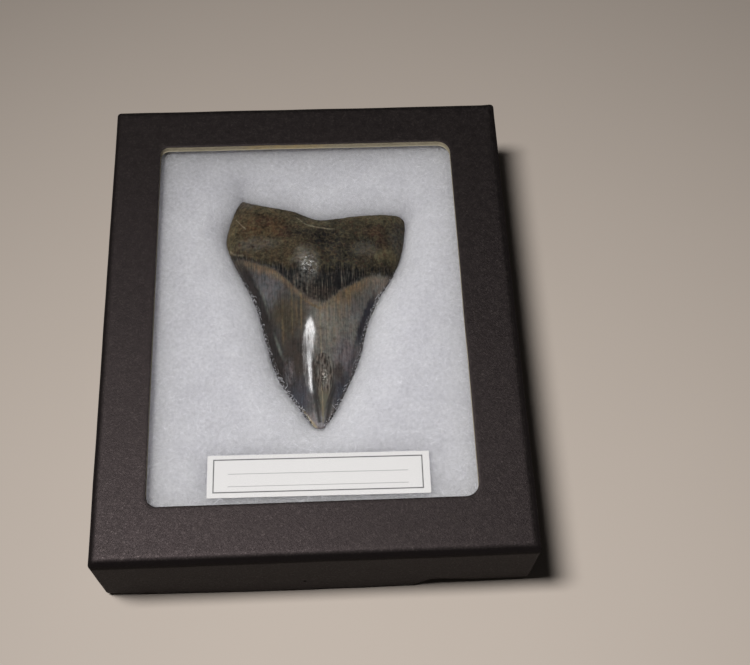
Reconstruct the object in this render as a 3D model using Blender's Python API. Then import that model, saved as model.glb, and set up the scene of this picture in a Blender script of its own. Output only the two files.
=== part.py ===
"""Fossil shark tooth in a glazed card display box.

Row frame: metres, +Z up, origin on the underside of the box at its centre.
+X runs along the box's width, +Y from the label end to the root end of the tooth.
"""
import math

import bmesh
import bpy
from mathutils import Vector

MM = 0.001

# Box sizes
BOX_W = 114.3 * MM
BOX_L = 139.7 * MM
BOX_H = 28.5 * MM
WALL = 1.4 * MM
BOARD = 1.5 * MM
ROLL = 1.5 * MM
CORNER = 1.0 * MM
GAP = 0.3 * MM

# Window in the lid's face board, as borders from each side of the box
WINDOW_LEFT = 14.0 * MM
WINDOW_RIGHT = 14.9 * MM
WINDOW_BACK = 14.2 * MM
WINDOW_FRONT = 15.0 * MM
WINDOW_CORNER = 4.8 * MM
WINDOW_EASE = 0.2 * MM

# Lower edge of the lid: how high it stands, how far it bows out, and where its front edge is lifted
LID_FOOT = 0.6 * MM
LID_BOW = 0.8 * MM
LIFT_START = 26.0 * MM
LIFT_PEAK = 31.0 * MM
LIFT_HEIGHT = 3.4 * MM
LIFT_AFTER = 1.7 * MM
PIN_PLACE = (-3.5 * MM, 8.1 * MM)
PIN_RADIUS = 0.4 * MM

# Ear of folded paper that stands up at the lid's back right corner
EAR_HEIGHT = 0.5 * MM
EAR_REACH = 2.5 * MM

# Tray under the lid
TRAY_PLAY = 0.5 * MM
TRAY_EASE = 0.7 * MM

# Glass, batting and label
PANE_THICK = 1.6 * MM
PAD_COLUMNS = 26
PAD_ROWS = 32
PAD_DIMPLE_REACH = 11.0 * MM
PAD_DIMPLE_DEPTH = 5.6 * MM
LABEL_SIZE = (58.1 * MM, 11.6 * MM)
LABEL_THICK = 0.35 * MM
LABEL_PLACE = (1.1 * MM, -46.6 * MM)
LABEL_TURN = math.radians(-0.54)

# Tooth: place of its tip and of the plane that its cutting edges lie in
TOOTH_TIP = Vector((1.5 * MM, -31.2 * MM, 16.3 * MM))
TOOTH_COLUMNS = 32
TOOTH_ROWS = 42
POCKET_COLUMNS = 14
POCKET_ROWS = 20

# Outline of the tooth in millimetres from its tip, both sides from tip to root end
LEFT_SIDE = (
    (-1.6, 1.1), (-5.4, 6.0), (-9.7, 13.1), (-12.6, 20.3), (-14.7, 28.9), (-17.0, 38.0),
    (-20.2, 45.6), (-23.8, 52.4), (-26.1, 59.2), (-24.7, 65.8), (-23.0, 70.6), (-21.4, 74.0))
RIGHT_SIDE = (
    (1.8, 0.9), (5.5, 6.6), (9.5, 14.4), (11.9, 22.5), (14.1, 31.4), (17.3, 39.3),
    (20.1, 44.1), (23.6, 49.8), (25.7, 55.5), (26.6, 60.7), (26.9, 65.0), (26.0, 67.2))
ROOT_END = (
    (-21.4, 74.0), (-18.7, 72.8), (-13.3, 71.4), (-6.4, 69.5), (0.0, 67.0), (5.4, 66.3),
    (13.3, 67.0), (21.7, 67.5), (26.0, 67.2))
TIP_DEPTH = 1.1

# Height of the rounded face above the edge plane, and depth of the flat face below it,
# in millimetres at even steps from the tip to the root end
CREST = (0.7, 2.4, 3.8, 5.1, 6.2, 7.1, 7.5, 7.3, 6.9, 6.4, 5.6)
BELLY = (0.4, 1.0, 1.4, 1.8, 2.2, 2.8, 4.0, 5.2, 5.7, 5.5, 4.8)
TOOTH_LENGTH = 75.0
CROWN_END = 40.0
ROOT_START = 53.0
EDGE_THINNING = 0.55
ROOT_ROUND = 3.4
RIM_WIDTH = 0.17

# Room round the tooth in the batting, and how far up the room is cut, in millimetres
POCKET_PLAY = 0.8
POCKET_HEIGHT = 20.0

# Swellings and hollows of the rounded face: centre, half widths and height, in millimetres
FACE_FORMS = (
    (-3.5, 53.0, 7.5, 6.0, 1.1),
    (3.5, 58.0, 4.5, 4.0, -0.7),
    (0.5, 66.0, 5.5, 3.2, -1.3),
    (-13.0, 57.0, 5.0, 5.0, -0.4),
    (14.0, 56.0, 6.0, 5.0, -0.3),
    (2.0, 16.5, 2.3, 4.6, -0.7))
BACK_FORMS = (
    (1.0, 64.0, 9.0, 9.0, -1.6),
    (0.0, 34.0, 9.0, 14.0, -0.5))


def material(name, color, roughness, transmission=0.0):
    """A plain finish for one sub-part."""
    mat = bpy.data.materials.new(name)
    mat.use_nodes = True
    shader = mat.node_tree.nodes["Principled BSDF"]
    shader.inputs["Base Color"].default_value = (*color, 1.0)
    shader.inputs["Roughness"].default_value = roughness
    shader.inputs["Metallic"].default_value = 0.0
    shader.inputs["Transmission Weight"].default_value = transmission
    return mat


def new_object(name, bm, mat):
    """Make a scene object from a finished bmesh."""
    bmesh.ops.recalc_face_normals(bm, faces=bm.faces)
    mesh = bpy.data.meshes.new(name)
    bm.to_mesh(mesh)
    bm.free()
    mesh.materials.append(mat)
    mesh.shade_smooth()
    mesh.set_sharp_from_angle(angle=math.radians(35))
    obj = bpy.data.objects.new(name, mesh)
    bpy.context.scene.collection.objects.link(obj)
    return obj


def smoothstep(low, high, value):
    t = min(max((value - low) / (high - low), 0.0), 1.0)
    return t * t * (3.0 - 2.0 * t)


def rounded_ring(half_w, half_l, corner, z, center=(0.0, 0.0), run=10, arc=5):
    """Points round a rectangle with round corners, anticlockwise from its right side."""
    points = []
    signs = ((1, 1), (-1, 1), (-1, -1), (1, -1))
    for k, (sx, sy) in enumerate(signs):
        cx = center[0] + sx * (half_w - corner)
        cy = center[1] + sy * (half_l - corner)
        start = k * math.pi / 2
        for i in range(arc):
            angle = start + (math.pi / 2) * i / (arc - 1)
            points.append(Vector((cx + corner * math.cos(angle), cy + corner * math.sin(angle), z)))
        nx, ny = signs[(k + 1) % 4]
        end = Vector((center[0] + nx * (half_w - corner), center[1] + ny * (half_l - corner), z))
        angle = start + math.pi / 2
        end += corner * Vector((math.cos(angle), math.sin(angle), 0.0))
        first = points[-1].copy()
        points.extend(first.lerp(end, i / run) for i in range(1, run))
    return points


def loft(bm, rings, closed):
    """Join rings of equal length with faces; cap both ends unless the profile closes on itself."""
    loops = [[bm.verts.new(p) for p in ring] for ring in rings]
    pairs = list(zip(loops, loops[1:]))
    if closed:
        pairs.append((loops[-1], loops[0]))
    for lower, upper in pairs:
        count = len(lower)
        for i in range(count):
            j = (i + 1) % count
            bm.faces.new((lower[i], lower[j], upper[j], upper[i]))
    if not closed:
        bm.faces.new(loops[0])
        bm.faces.new(loops[-1])


def lid_edge_lift(x):
    """How far the front wall's lower edge stands clear of the rest, near its right end."""
    rise = smoothstep(LIFT_START, LIFT_PEAK, x)
    fall = smoothstep(LIFT_PEAK, LIFT_PEAK + 12 * MM, x)
    return rise * (LIFT_HEIGHT + (LIFT_AFTER - LIFT_HEIGHT) * fall)


def shape_lid_foot(ring, share):
    """Bow the long walls outwards and lift the front edge, by a share of the full amount."""
    half_w = BOX_W / 2
    half_l = BOX_L / 2
    for p in ring:
        if abs(p.y) < half_l - 3 * WALL:
            continue
        across = max(0.0, 1.0 - (p.x / (half_w - WALL)) ** 2)
        out = LID_BOW * share * across
        if p.y < 0:
            lift = lid_edge_lift(p.x) * share
            out *= 1.0 - 0.9 * min(1.0, lift / LIFT_AFTER)
            p.z += lift
        p.y += math.copysign(out, p.y)


def make_lid(mat):
    half_w = BOX_W / 2
    half_l = BOX_L / 2
    inner_w = half_w - WALL
    inner_l = half_l - WALL
    under = BOX_H - BOARD
    window_w = (BOX_W - WINDOW_LEFT - WINDOW_RIGHT) / 2
    window_l = (BOX_L - WINDOW_BACK - WINDOW_FRONT) / 2
    center = ((WINDOW_LEFT - WINDOW_RIGHT) / 2, (WINDOW_FRONT - WINDOW_BACK) / 2)
    foot_in = rounded_ring(inner_w, inner_l, 0.4 * MM, LID_FOOT)
    foot_lip = rounded_ring(half_w - 0.4 * MM, half_l - 0.4 * MM, CORNER, LID_FOOT)
    foot_out = rounded_ring(half_w, half_l, CORNER, LID_FOOT + 0.5 * MM)
    middle = rounded_ring(half_w, half_l, CORNER, BOX_H * 0.45)
    for ring, share in ((foot_in, 1.0), (foot_lip, 1.0), (foot_out, 1.0), (middle, 0.3)):
        shape_lid_foot(ring, share)
    rings = [
        foot_in,
        rounded_ring(inner_w, inner_l, 0.4 * MM, under),
        rounded_ring(window_w, window_l, WINDOW_CORNER, under, center),
        rounded_ring(window_w, window_l, WINDOW_CORNER, BOX_H - WINDOW_EASE, center),
        rounded_ring(window_w + WINDOW_EASE, window_l + WINDOW_EASE,
                     WINDOW_CORNER + WINDOW_EASE, BOX_H, center)]
    for step in range(5):
        angle = math.pi / 2 * step / 4
        inset = ROLL * (1.0 - math.sin(angle))
        drop = ROLL * (1.0 - math.cos(angle))
        rings.append(rounded_ring(half_w - inset, half_l - inset, CORNER, BOX_H - drop))
    corner = Vector((half_w, half_l, BOX_H))
    for ring in rings[-5:]:
        for p in ring:
            p.z += EAR_HEIGHT * math.exp(-((p - corner).length / EAR_REACH) ** 2)
    rings += [middle, foot_out, foot_lip]
    bm = bmesh.new()
    loft(bm, rings, closed=True)
    bmesh.ops.triangulate(bm, faces=bm.faces)
    lid = new_object("lid", bm, mat)
    cut_pin_hole(lid)
    return lid


def cut_pin_hole(lid):
    """A pin hole through the front wall."""
    bm = bmesh.new()
    bmesh.ops.create_cone(bm, cap_ends=True, segments=10, radius1=PIN_RADIUS,
                          radius2=PIN_RADIUS, depth=8 * MM)
    mesh = bpy.data.meshes.new("pin_cutter")
    bm.to_mesh(mesh)
    bm.free()
    cutter = bpy.data.objects.new("pin_cutter", mesh)
    bpy.context.scene.collection.objects.link(cutter)
    cutter.location = (PIN_PLACE[0], -BOX_L / 2, PIN_PLACE[1])
    cutter.rotation_euler = (math.pi / 2, 0.0, 0.0)
    cutter.hide_render = True
    cutter.display_type = "WIRE"
    cut = lid.modifiers.new("pin hole", "BOOLEAN")
    cut.operation = "DIFFERENCE"
    cut.object = cutter


def tray_half():
    """Outer half width and half length of the tray."""
    return BOX_W / 2 - WALL - TRAY_PLAY, BOX_L / 2 - WALL - TRAY_PLAY


def pane_bottom():
    return BOX_H - BOARD - GAP - PANE_THICK


def make_base(mat):
    half_w, half_l = tray_half()
    top = pane_bottom() - GAP
    ease = TRAY_EASE
    inner_w = half_w - WALL
    inner_l = half_l - WALL
    rings = [
        rounded_ring(half_w - ease, half_l - ease, CORNER, 0.0, run=4),
        rounded_ring(half_w - 0.3 * ease, half_l - 0.3 * ease, CORNER, 0.3 * ease, run=4),
        rounded_ring(half_w, half_l, CORNER, ease, run=4),
        rounded_ring(half_w, half_l, CORNER, top - GAP, run=4),
        rounded_ring(half_w - GAP, half_l - GAP, CORNER, top, run=4),
        rounded_ring(inner_w + GAP, inner_l + GAP, CORNER, top, run=4),
        rounded_ring(inner_w, inner_l, CORNER, top - GAP, run=4),
        rounded_ring(inner_w, inner_l, CORNER, WALL, run=4)]
    bm = bmesh.new()
    loft(bm, rings, closed=False)
    return new_object("base", bm, mat)


def make_pane(mat):
    half_w = BOX_W / 2 - WALL - GAP
    half_l = BOX_L / 2 - WALL - GAP
    bm = bmesh.new()
    low = rounded_ring(half_w, half_l, GAP, pane_bottom(), run=2, arc=3)
    high = rounded_ring(half_w, half_l, GAP, pane_bottom() + PANE_THICK, run=2, arc=3)
    loft(bm, [low, high], closed=False)
    return new_object("pane", bm, mat)


def curve_point(points, t):
    """A point on the smooth curve through the given points, with t from 0 to 1."""
    spans = len(points) - 1
    k = min(int(t * spans), spans - 1)
    f = t * spans - k
    p1 = Vector(points[k])
    p2 = Vector(points[k + 1])
    p0 = Vector(points[k - 1]) if k > 0 else 2 * p1 - p2
    p3 = Vector(points[k + 2]) if k + 2 <= spans else 2 * p2 - p1
    return 0.5 * (2 * p1 + (p2 - p0) * f + (2 * p0 - 5 * p1 + 4 * p2 - p3) * f ** 2
                  + (3 * p1 - p0 - 3 * p2 + p3) * f ** 3)


def profile_height(heights, distance):
    """Height at a distance from the tip, on the smooth curve through evenly spaced heights."""
    points = [(i, h) for i, h in enumerate(heights)]
    return curve_point(points, min(max(distance / TOOTH_LENGTH, 0.0), 1.0)).y


def outline_point(u, v):
    """A point of the tooth's plan: u across from left to right, v along from tip to root end."""
    left = curve_point(LEFT_SIDE, v)
    right = curve_point(RIGHT_SIDE, v)
    root = curve_point(ROOT_END, u)
    tip_left = Vector(LEFT_SIDE[0])
    tip_right = Vector(RIGHT_SIDE[0])
    tip = tip_left.lerp(tip_right, u)
    tip.y -= TIP_DEPTH * 4 * u * (1 - u)
    root_chord = Vector(LEFT_SIDE[-1]).lerp(Vector(RIGHT_SIDE[-1]), u)
    corners = tip_left.lerp(tip_right, u).lerp(root_chord, v)
    return left.lerp(right, u) + tip.lerp(root, v) - corners


def forms(table, x, y):
    """Sum of the soft swellings and hollows at a place on a face."""
    return sum(h * math.exp(-((x - cx) / wx) ** 2 - ((y - cy) / wy) ** 2)
               for cx, cy, wx, wy, h in table)


def face_shares(u, v, y):
    """How much of the full height a place keeps, on the rounded face and on the flat face."""
    s = abs(2 * u - 1)
    root = smoothstep(CROWN_END, ROOT_START, y)
    blade = (1 - s * s) * (1 - EDGE_THINNING * s * s)
    lobe = math.sqrt(max(0.0, 1 - s ** ROOT_ROUND))
    flat = math.sqrt(max(0.0, 1 - s ** 6))
    rim = math.sqrt(max(0.0, 1 - max(0.0, 1 - (1 - v) / RIM_WIDTH) ** 2))
    front = (blade + (lobe - blade) * root) * rim
    back = ((1 - s ** 4) * (1 - root) + flat * root) * rim
    return front, back


def tooth_surface(u, v):
    """Plan place, front height and back height of the tooth, in millimetres."""
    plan = outline_point(u, v)
    front_share, back_share = face_shares(u, v, plan.y)
    front = (profile_height(CREST, plan.y) + forms(FACE_FORMS, plan.x, plan.y)) * front_share
    back = (profile_height(BELLY, plan.y) + forms(BACK_FORMS, plan.x, plan.y)) * back_share
    return plan, front, back


def eased(i, count, ends=0.7):
    """Even steps from 0 to 1, drawn closer together at both ends."""
    t = i / count
    return (1 - ends) * t + ends * (1 - math.cos(math.pi * t)) / 2


def is_edge(i, j, columns, rows):
    return i in (0, columns) or j in (0, rows)


def tooth_body(columns, rows, front_point, back_point):
    """A closed body over the tooth's plan, from one function for each of its two faces."""
    bm = bmesh.new()
    front = []
    back = []
    for j in range(rows + 1):
        v = eased(j, rows)
        places = [(eased(i, columns), v, is_edge(i, j, columns, rows)) for i in range(columns + 1)]
        front.append([bm.verts.new(front_point(*place)) for place in places])
        back.append([bm.verts.new(back_point(*place)) for place in places])
    for j in range(rows):
        for i in range(columns):
            bm.faces.new((front[j][i], front[j][i + 1], front[j + 1][i + 1], front[j + 1][i]))
            bm.faces.new((back[j][i], back[j + 1][i], back[j + 1][i + 1], back[j][i + 1]))
    border = [(0, i) for i in range(columns)] + [(j, columns) for j in range(rows)]
    border += [(rows, i) for i in range(columns, 0, -1)] + [(j, 0) for j in range(rows, 0, -1)]
    for (j0, i0), (j1, i1) in zip(border, border[1:] + border[:1]):
        bm.faces.new((front[j0][i0], back[j0][i0], back[j1][i1], front[j1][i1]))
    bmesh.ops.remove_doubles(bm, verts=bm.verts, dist=0.001 * MM)
    bmesh.ops.triangulate(bm, faces=bm.faces)
    return bm


def make_tooth(mat):
    def front_point(u, v, on_edge):
        plan, front, _ = tooth_surface(u, v)
        return Vector((plan.x, plan.y, 0.0 if on_edge else front)) * MM

    def back_point(u, v, on_edge):
        plan, _, back = tooth_surface(u, v)
        return Vector((plan.x, plan.y, 0.0 if on_edge else -back)) * MM

    tooth = new_object("tooth", tooth_body(TOOTH_COLUMNS, TOOTH_ROWS, front_point, back_point), mat)
    tooth.location = TOOTH_TIP
    return tooth


def make_pocket_cutter():
    """The space that the tooth takes in the batting, open above it."""
    def outset(u, v, on_edge):
        plan = tooth_surface(u, v)[0]
        if on_edge:
            plan.x += POCKET_PLAY * (2 * u - 1)
            plan.y += POCKET_PLAY * (1 if v == 1 else -1 if v == 0 else 0)
        return plan

    def front_point(u, v, on_edge):
        plan = outset(u, v, on_edge)
        return Vector((plan.x, plan.y, POCKET_HEIGHT)) * MM

    def back_point(u, v, on_edge):
        plan = outset(u, v, on_edge)
        return Vector((plan.x, plan.y, -tooth_surface(u, v)[2] - POCKET_PLAY)) * MM

    bm = tooth_body(POCKET_COLUMNS, POCKET_ROWS, front_point, back_point)
    bmesh.ops.recalc_face_normals(bm, faces=bm.faces)
    mesh = bpy.data.meshes.new("pocket_cutter")
    bm.to_mesh(mesh)
    bm.free()
    cutter = bpy.data.objects.new("pocket_cutter", mesh)
    bpy.context.scene.collection.objects.link(cutter)
    cutter.location = TOOTH_TIP
    cutter.hide_render = True
    cutter.display_type = "WIRE"
    return cutter


def make_fibre_pad(mat):
    """Batting that fills the tray and sinks towards the tooth."""
    half_w, half_l = (half - WALL - GAP for half in tray_half())
    top = pane_bottom() - 2 * GAP - LABEL_THICK
    low = WALL + GAP
    steps = [i / 40 for i in range(41)]
    rim = [outline_point(u, v) for v in steps for u in (0.0, 1.0)]
    rim += [outline_point(u, 1.0) for u in steps]
    rim = [Vector((p.x * MM + TOOTH_TIP.x, p.y * MM + TOOTH_TIP.y)) for p in rim]

    def height(x, y):
        away = min((p - Vector((x, y))).length for p in rim)
        return top - PAD_DIMPLE_DEPTH * (1 - smoothstep(0.0, PAD_DIMPLE_REACH, away))

    bm = bmesh.new()
    grid = []
    for j in range(PAD_ROWS + 1):
        y = half_l * (2 * j / PAD_ROWS - 1)
        xs = [half_w * (2 * i / PAD_COLUMNS - 1) for i in range(PAD_COLUMNS + 1)]
        grid.append([bm.verts.new((x, y, height(x, y))) for x in xs])
    for lower, upper in zip(grid, grid[1:]):
        for i in range(PAD_COLUMNS):
            bm.faces.new((lower[i], lower[i + 1], upper[i + 1], upper[i]))
    edge = grid[0][:-1] + [row[-1] for row in grid[:-1]] + grid[-1][:0:-1]
    edge += [row[0] for row in grid[:0:-1]]
    foot = [bm.verts.new((v.co.x, v.co.y, low)) for v in edge]
    for i, vert in enumerate(edge):
        j = (i + 1) % len(edge)
        bm.faces.new((vert, foot[i], foot[j], edge[j]))
    bm.faces.new(foot)
    bmesh.ops.triangulate(bm, faces=bm.faces)
    pad = new_object("fibre_pad", bm, mat)
    cut = pad.modifiers.new("tooth pocket", "BOOLEAN")
    cut.operation = "DIFFERENCE"
    cut.object = make_pocket_cutter()
    return pad


def make_label(mat):
    half_w, half_l = LABEL_SIZE[0] / 2, LABEL_SIZE[1] / 2
    bm = bmesh.new()
    low = rounded_ring(half_w, half_l, GAP, 0.0, run=2, arc=2)
    high = rounded_ring(half_w, half_l, GAP, LABEL_THICK, run=2, arc=2)
    loft(bm, [low, high], closed=False)
    label = new_object("label", bm, mat)
    label.location = (*LABEL_PLACE, pane_bottom() - GAP - LABEL_THICK)
    label.rotation_euler = (0.0, 0.0, LABEL_TURN)
    return label


def main():
    for obj in list(bpy.data.objects):
        bpy.data.objects.remove(obj, do_unlink=True)
    card = material("black paper", (0.02, 0.018, 0.018), 0.5)
    make_base(card)
    make_lid(card)
    make_pane(material("clear glass", (1.0, 1.0, 1.0), 0.02, 1.0))
    make_tooth(material("fossil tooth", (0.08, 0.065, 0.05), 0.35))
    make_fibre_pad(material("white batting", (0.84, 0.84, 0.85), 0.95))
    make_label(material("white card", (0.85, 0.84, 0.82), 0.7))


main()
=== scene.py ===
"""Fossil shark tooth in a glazed card display box: fine surfaces and finishes round the fixed solids.

Lengths are in metres unless a comment says millimetres; MM turns millimetres into metres. The
tooth's own places are in millimetres from its tip, x across and y towards the root end.
"""

import math

import bmesh
import bpy
import numpy as np
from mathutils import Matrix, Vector, noise


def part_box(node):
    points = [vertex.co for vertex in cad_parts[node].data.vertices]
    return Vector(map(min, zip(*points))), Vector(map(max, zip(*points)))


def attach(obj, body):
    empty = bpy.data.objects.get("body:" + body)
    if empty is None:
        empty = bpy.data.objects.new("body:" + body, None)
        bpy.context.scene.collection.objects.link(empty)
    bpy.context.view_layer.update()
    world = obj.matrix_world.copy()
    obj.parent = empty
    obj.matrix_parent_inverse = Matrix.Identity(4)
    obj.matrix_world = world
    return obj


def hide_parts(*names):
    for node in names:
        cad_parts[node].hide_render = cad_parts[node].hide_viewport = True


bl_info = {
    "name": "Boxed Fossil Tooth",
    "version": (1, 0, 0),
    "blender": (4, 5, 0),
    "location": "3D View > Sidebar > Specimen",
    "description": "Builds the paper lid, batting, label card and fossil tooth of a glazed display box",
    "category": "Object",
}

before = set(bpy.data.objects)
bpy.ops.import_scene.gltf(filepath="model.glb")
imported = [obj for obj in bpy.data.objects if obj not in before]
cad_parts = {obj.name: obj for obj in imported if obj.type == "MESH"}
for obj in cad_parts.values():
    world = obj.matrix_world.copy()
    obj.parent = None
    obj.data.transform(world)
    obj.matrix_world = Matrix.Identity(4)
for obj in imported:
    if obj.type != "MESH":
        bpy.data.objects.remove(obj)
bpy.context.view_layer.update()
MM = 0.001
BODY = "root"

# Corners of the solids, and the box's own sizes
LID_LOW, LID_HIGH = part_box("lid")
PANE_LOW, PANE_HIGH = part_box("pane")
BASE_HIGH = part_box("base")[1]
LABEL_LOW, LABEL_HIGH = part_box("label")
BOX_W = LID_HIGH.x - LID_LOW.x
BOX_L = 139.7 * MM
BOX_H = 28.5 * MM
WALL = 1.4 * MM
ROLL = 2.4 * MM
CORNER = 1.0 * MM
INNER_CORNER = 0.4 * MM
LID_UNDER = PANE_HIGH.z + 0.3 * MM

# Window in the lid's face board, as borders from each side of the box
WINDOW_BORDER = {"left": 14.0 * MM, "right": 14.9 * MM, "back": 14.2 * MM, "front": 15.0 * MM}
WINDOW_CORNERS = np.array((3.8, 2.4, 3.2, 3.6)) * MM
WINDOW_EASE = 0.2 * MM
WINDOW_LEAN = 0.6 * MM

# Lower edge of the lid: how far it bows out, and where its front edge is lifted
LID_BOW = 0.8 * MM
LIFT_START = 26.0 * MM
LIFT_PEAK = 31.0 * MM
LIFT_FALL = 12.0 * MM
LIFT_HEIGHT = 3.4 * MM
LIFT_AFTER = 1.7 * MM
PIN_PLACE = (-3.5 * MM, 8.1 * MM)
PIN_RADIUS = 0.4 * MM
WORN_FOOT = 1.3 * MM
WORN_REACH = 3.4 * MM
EAR_HEIGHT = 0.5 * MM
EAR_REACH = 2.5 * MM

# Place of the tooth's tip, on the plane that its cutting edges lie in
TOOTH_TIP = Vector((1.5 * MM, -31.2 * MM, 16.3 * MM))

# Outline of the tooth in millimetres, both sides from tip to root end
LEFT_SIDE = (
    (-1.5, 1.2), (-4.8, 6.0), (-9.5, 13.1), (-12.6, 20.3), (-14.7, 28.9), (-17.0, 38.0),
    (-20.2, 45.6), (-23.8, 52.4), (-26.1, 59.2), (-25.2, 65.3), (-23.5, 70.9), (-21.6, 75.0))
RIGHT_SIDE = (
    (1.5, 1.0), (4.85, 6.6), (8.7, 14.4), (11.8, 22.5), (14.1, 31.4), (17.3, 39.3),
    (20.1, 44.1), (23.6, 49.8), (25.7, 55.5), (26.6, 60.7), (26.9, 65.0), (26.0, 67.2))
ROOT_END = (
    (-21.6, 75.0), (-19.2, 73.4), (-13.3, 71.4), (-6.4, 69.5), (0.0, 67.0), (5.4, 66.3),
    (13.3, 67.0), (21.7, 67.5), (26.0, 67.2))
TIP_DEPTH = 0.5

# Height of the rounded face and depth of the flat face, in millimetres, at even steps from the tip
CREST = (0.7, 1.95, 3.6, 5.3, 7.05, 8.45, 8.15, 7.3, 6.9, 6.4, 5.6)
BELLY = (0.4, 1.0, 1.4, 1.8, 2.2, 2.8, 4.0, 5.2, 5.7, 5.5, 4.8)
TOOTH_LENGTH = 75.0
CROWN_END = 40.0
ROOT_START = 53.0
EDGE_THINNING = 0.55
ROOT_ROUND = 3.4
RIM_WIDTH = 0.17
# Swellings and hollows of both faces: middle, reach across and along, and height
FACE_FORMS = (
    (-3.5, 53.0, 7.5, 6.0, 1.1), (3.5, 58.0, 4.5, 4.0, -0.7), (0.5, 66.0, 5.5, 3.2, -1.3),
    (-13.0, 57.0, 5.0, 5.0, -0.4), (14.0, 56.0, 6.0, 5.0, -0.3), (2.0, 16.5, 2.3, 4.6, -0.5),
    (4.0, 28.0, 4.5, 11.0, 0.25), (-6.0, 28.0, 4.5, 11.0, -0.25), (-1.9, 13.0, 1.5, 6.0, 0.12),
    (-2.2, 28.0, 3.6, 6.5, -0.32), (-2.0, 43.0, 5.0, 3.6, -0.4))
BACK_FORMS = ((1.0, 64.0, 9.0, 9.0, -1.6), (0.0, 34.0, 9.0, 14.0, -0.5))

# Lines across the rounded face, in millimetres: the root's lower edge and the enamel's upper edge
ROOT_LINE = (
    (-27.0, 54.8), (-21.7, 53.2), (-17.9, 50.9), (-13.8, 48.9), (-10.6, 48.8), (-8.3, 47.2),
    (-3.3, 47.0), (3.1, 46.3), (7.8, 47.7), (12.3, 46.5), (16.9, 46.9), (23.0, 48.2), (27.0, 49.4))
ENAMEL_LINE = (
    (-27.0, 53.8), (-20.3, 51.1), (-16.0, 49.0), (-12.2, 47.2), (-8.5, 43.8), (-3.8, 38.5),
    (-1.0, 36.2), (1.8, 35.4), (4.7, 37.6), (9.4, 41.6), (14.4, 44.8), (18.5, 45.9),
    (21.6, 46.2), (23.4, 47.4), (27.0, 48.6))
# Pale cracks of the root: first and last x, lowest y, and the line
CRACKS = (
    (-5.4, 6.1, 57.0, ((-5.4, 65.0), (-2.7, 62.3), (-1.1, 61.6), (1.3, 60.9), (4.5, 60.3), (6.1, 60.3))),
    (-23.0, -19.7, 57.5, ((-22.9, 65.3), (-21.4, 63.0), (-19.7, 61.0))),
    (-25.0, -20.3, 0.0, ((-24.6, 55.6), (-22.9, 53.6), (-20.3, 52.5))))
# Creases down the left and the right of the blade: lowest and highest y, and the line as (y, x)
CREASES = (
    (7.3, 45.0, ((7.3, -3.7), (14.0, -6.9), (17.1, -8.3), (21.8, -10.3), (31.5, -13.2), (41.2, -15.7),
                 (45.1, -18.2))),
    (10.0, 42.0, ((10.0, 6.1), (16.5, 8.5), (23.5, 10.5), (28.1, 12.0), (36.0, 14.6), (43.0, 17.8))))
# Flaked strip above the tip, as (y, middle x) and (y, half width)
FLAKE_MIDDLE = ((2.0, 1.0), (7.0, 1.1), (13.4, 1.7), (19.5, 1.6), (22.0, 1.5))
FLAKE_HALF = ((2.0, 0.1), (7.0, 0.9), (13.4, 2.2), (19.0, 2.5), (20.8, 1.6), (21.8, 0.0))
FLAKE_CENTER = 12.0
# Pits in the root: place and radius in millimetres
PITS = (
    (1.2, 59.2, 0.8), (4.4, 56.1, 0.7), (2.8, 53.1, 0.6), (19.7, 59.3, 0.8), (20.7, 57.3, 0.6),
    (-8.4, 59.2, 0.7), (-11.6, 66.1, 0.6), (9.3, 61.5, 0.5), (-3.2, 64.8, 0.6), (14.0, 62.8, 0.5))
# Streaks down the enamel: middle x, low y, high y, half width, strength and tint
STREAKS = (
    (-9.6, 25.0, 38.0, 0.3, 0.3, "tan"), (-6.9, 27.0, 41.0, 0.28, 0.35, "tan"),
    (-4.3, 28.0, 46.0, 0.3, 0.4, "tan"), (-5.6, 30.0, 37.0, 0.3, 0.25, "tan"),
    (1.0, 5.0, 37.0, 0.24, 0.6, "cream"), (3.1, 25.0, 36.0, 0.3, 0.35, "cream"),
    (4.8, 24.0, 39.0, 0.35, 0.3, "cream"), (6.3, 31.0, 43.0, 0.6, 0.4, "tan"),
    (7.7, 32.0, 44.0, 0.45, 0.35, "tan"), (9.2, 34.0, 45.0, 0.6, 0.4, "tan"),
    # Painted reflection: the last streak is a pale sheen on the right of the blade.
    (10.65, 23.5, 31.5, 0.55, 0.5, "lichen"))
# Colours that lie in patches over the tooth; the pale grey-green one among them is painted sheen.
TINTS = {
    "rust": (0.08, 0.047, 0.022), "red": (0.042, 0.019, 0.013), "olive": (0.115, 0.093, 0.05),
    "moss": (0.062, 0.058, 0.04), "black": (0.008, 0.0075, 0.008), "dark": (0.022, 0.02, 0.018),
    "grey": (0.095, 0.088, 0.078), "tan": (0.172, 0.125, 0.062), "cream": (0.25, 0.21, 0.145),
    "lichen": (0.17, 0.18, 0.155), "brown": (0.05, 0.039, 0.024), "umber": (0.032, 0.024, 0.019),
    "slate": (0.046, 0.046, 0.057), "lilac": (0.125, 0.108, 0.118), "ash": (0.175, 0.16, 0.135),
    "blue": (0.104, 0.1, 0.104), "pearl": (0.15, 0.137, 0.118)}
LINT = (0.45, 0.44, 0.46)
# Middle of the worn swelling below the root's hollow, in millimetres from the tip
BULGE_X, BULGE_Y = -1.8, 48.3
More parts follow.
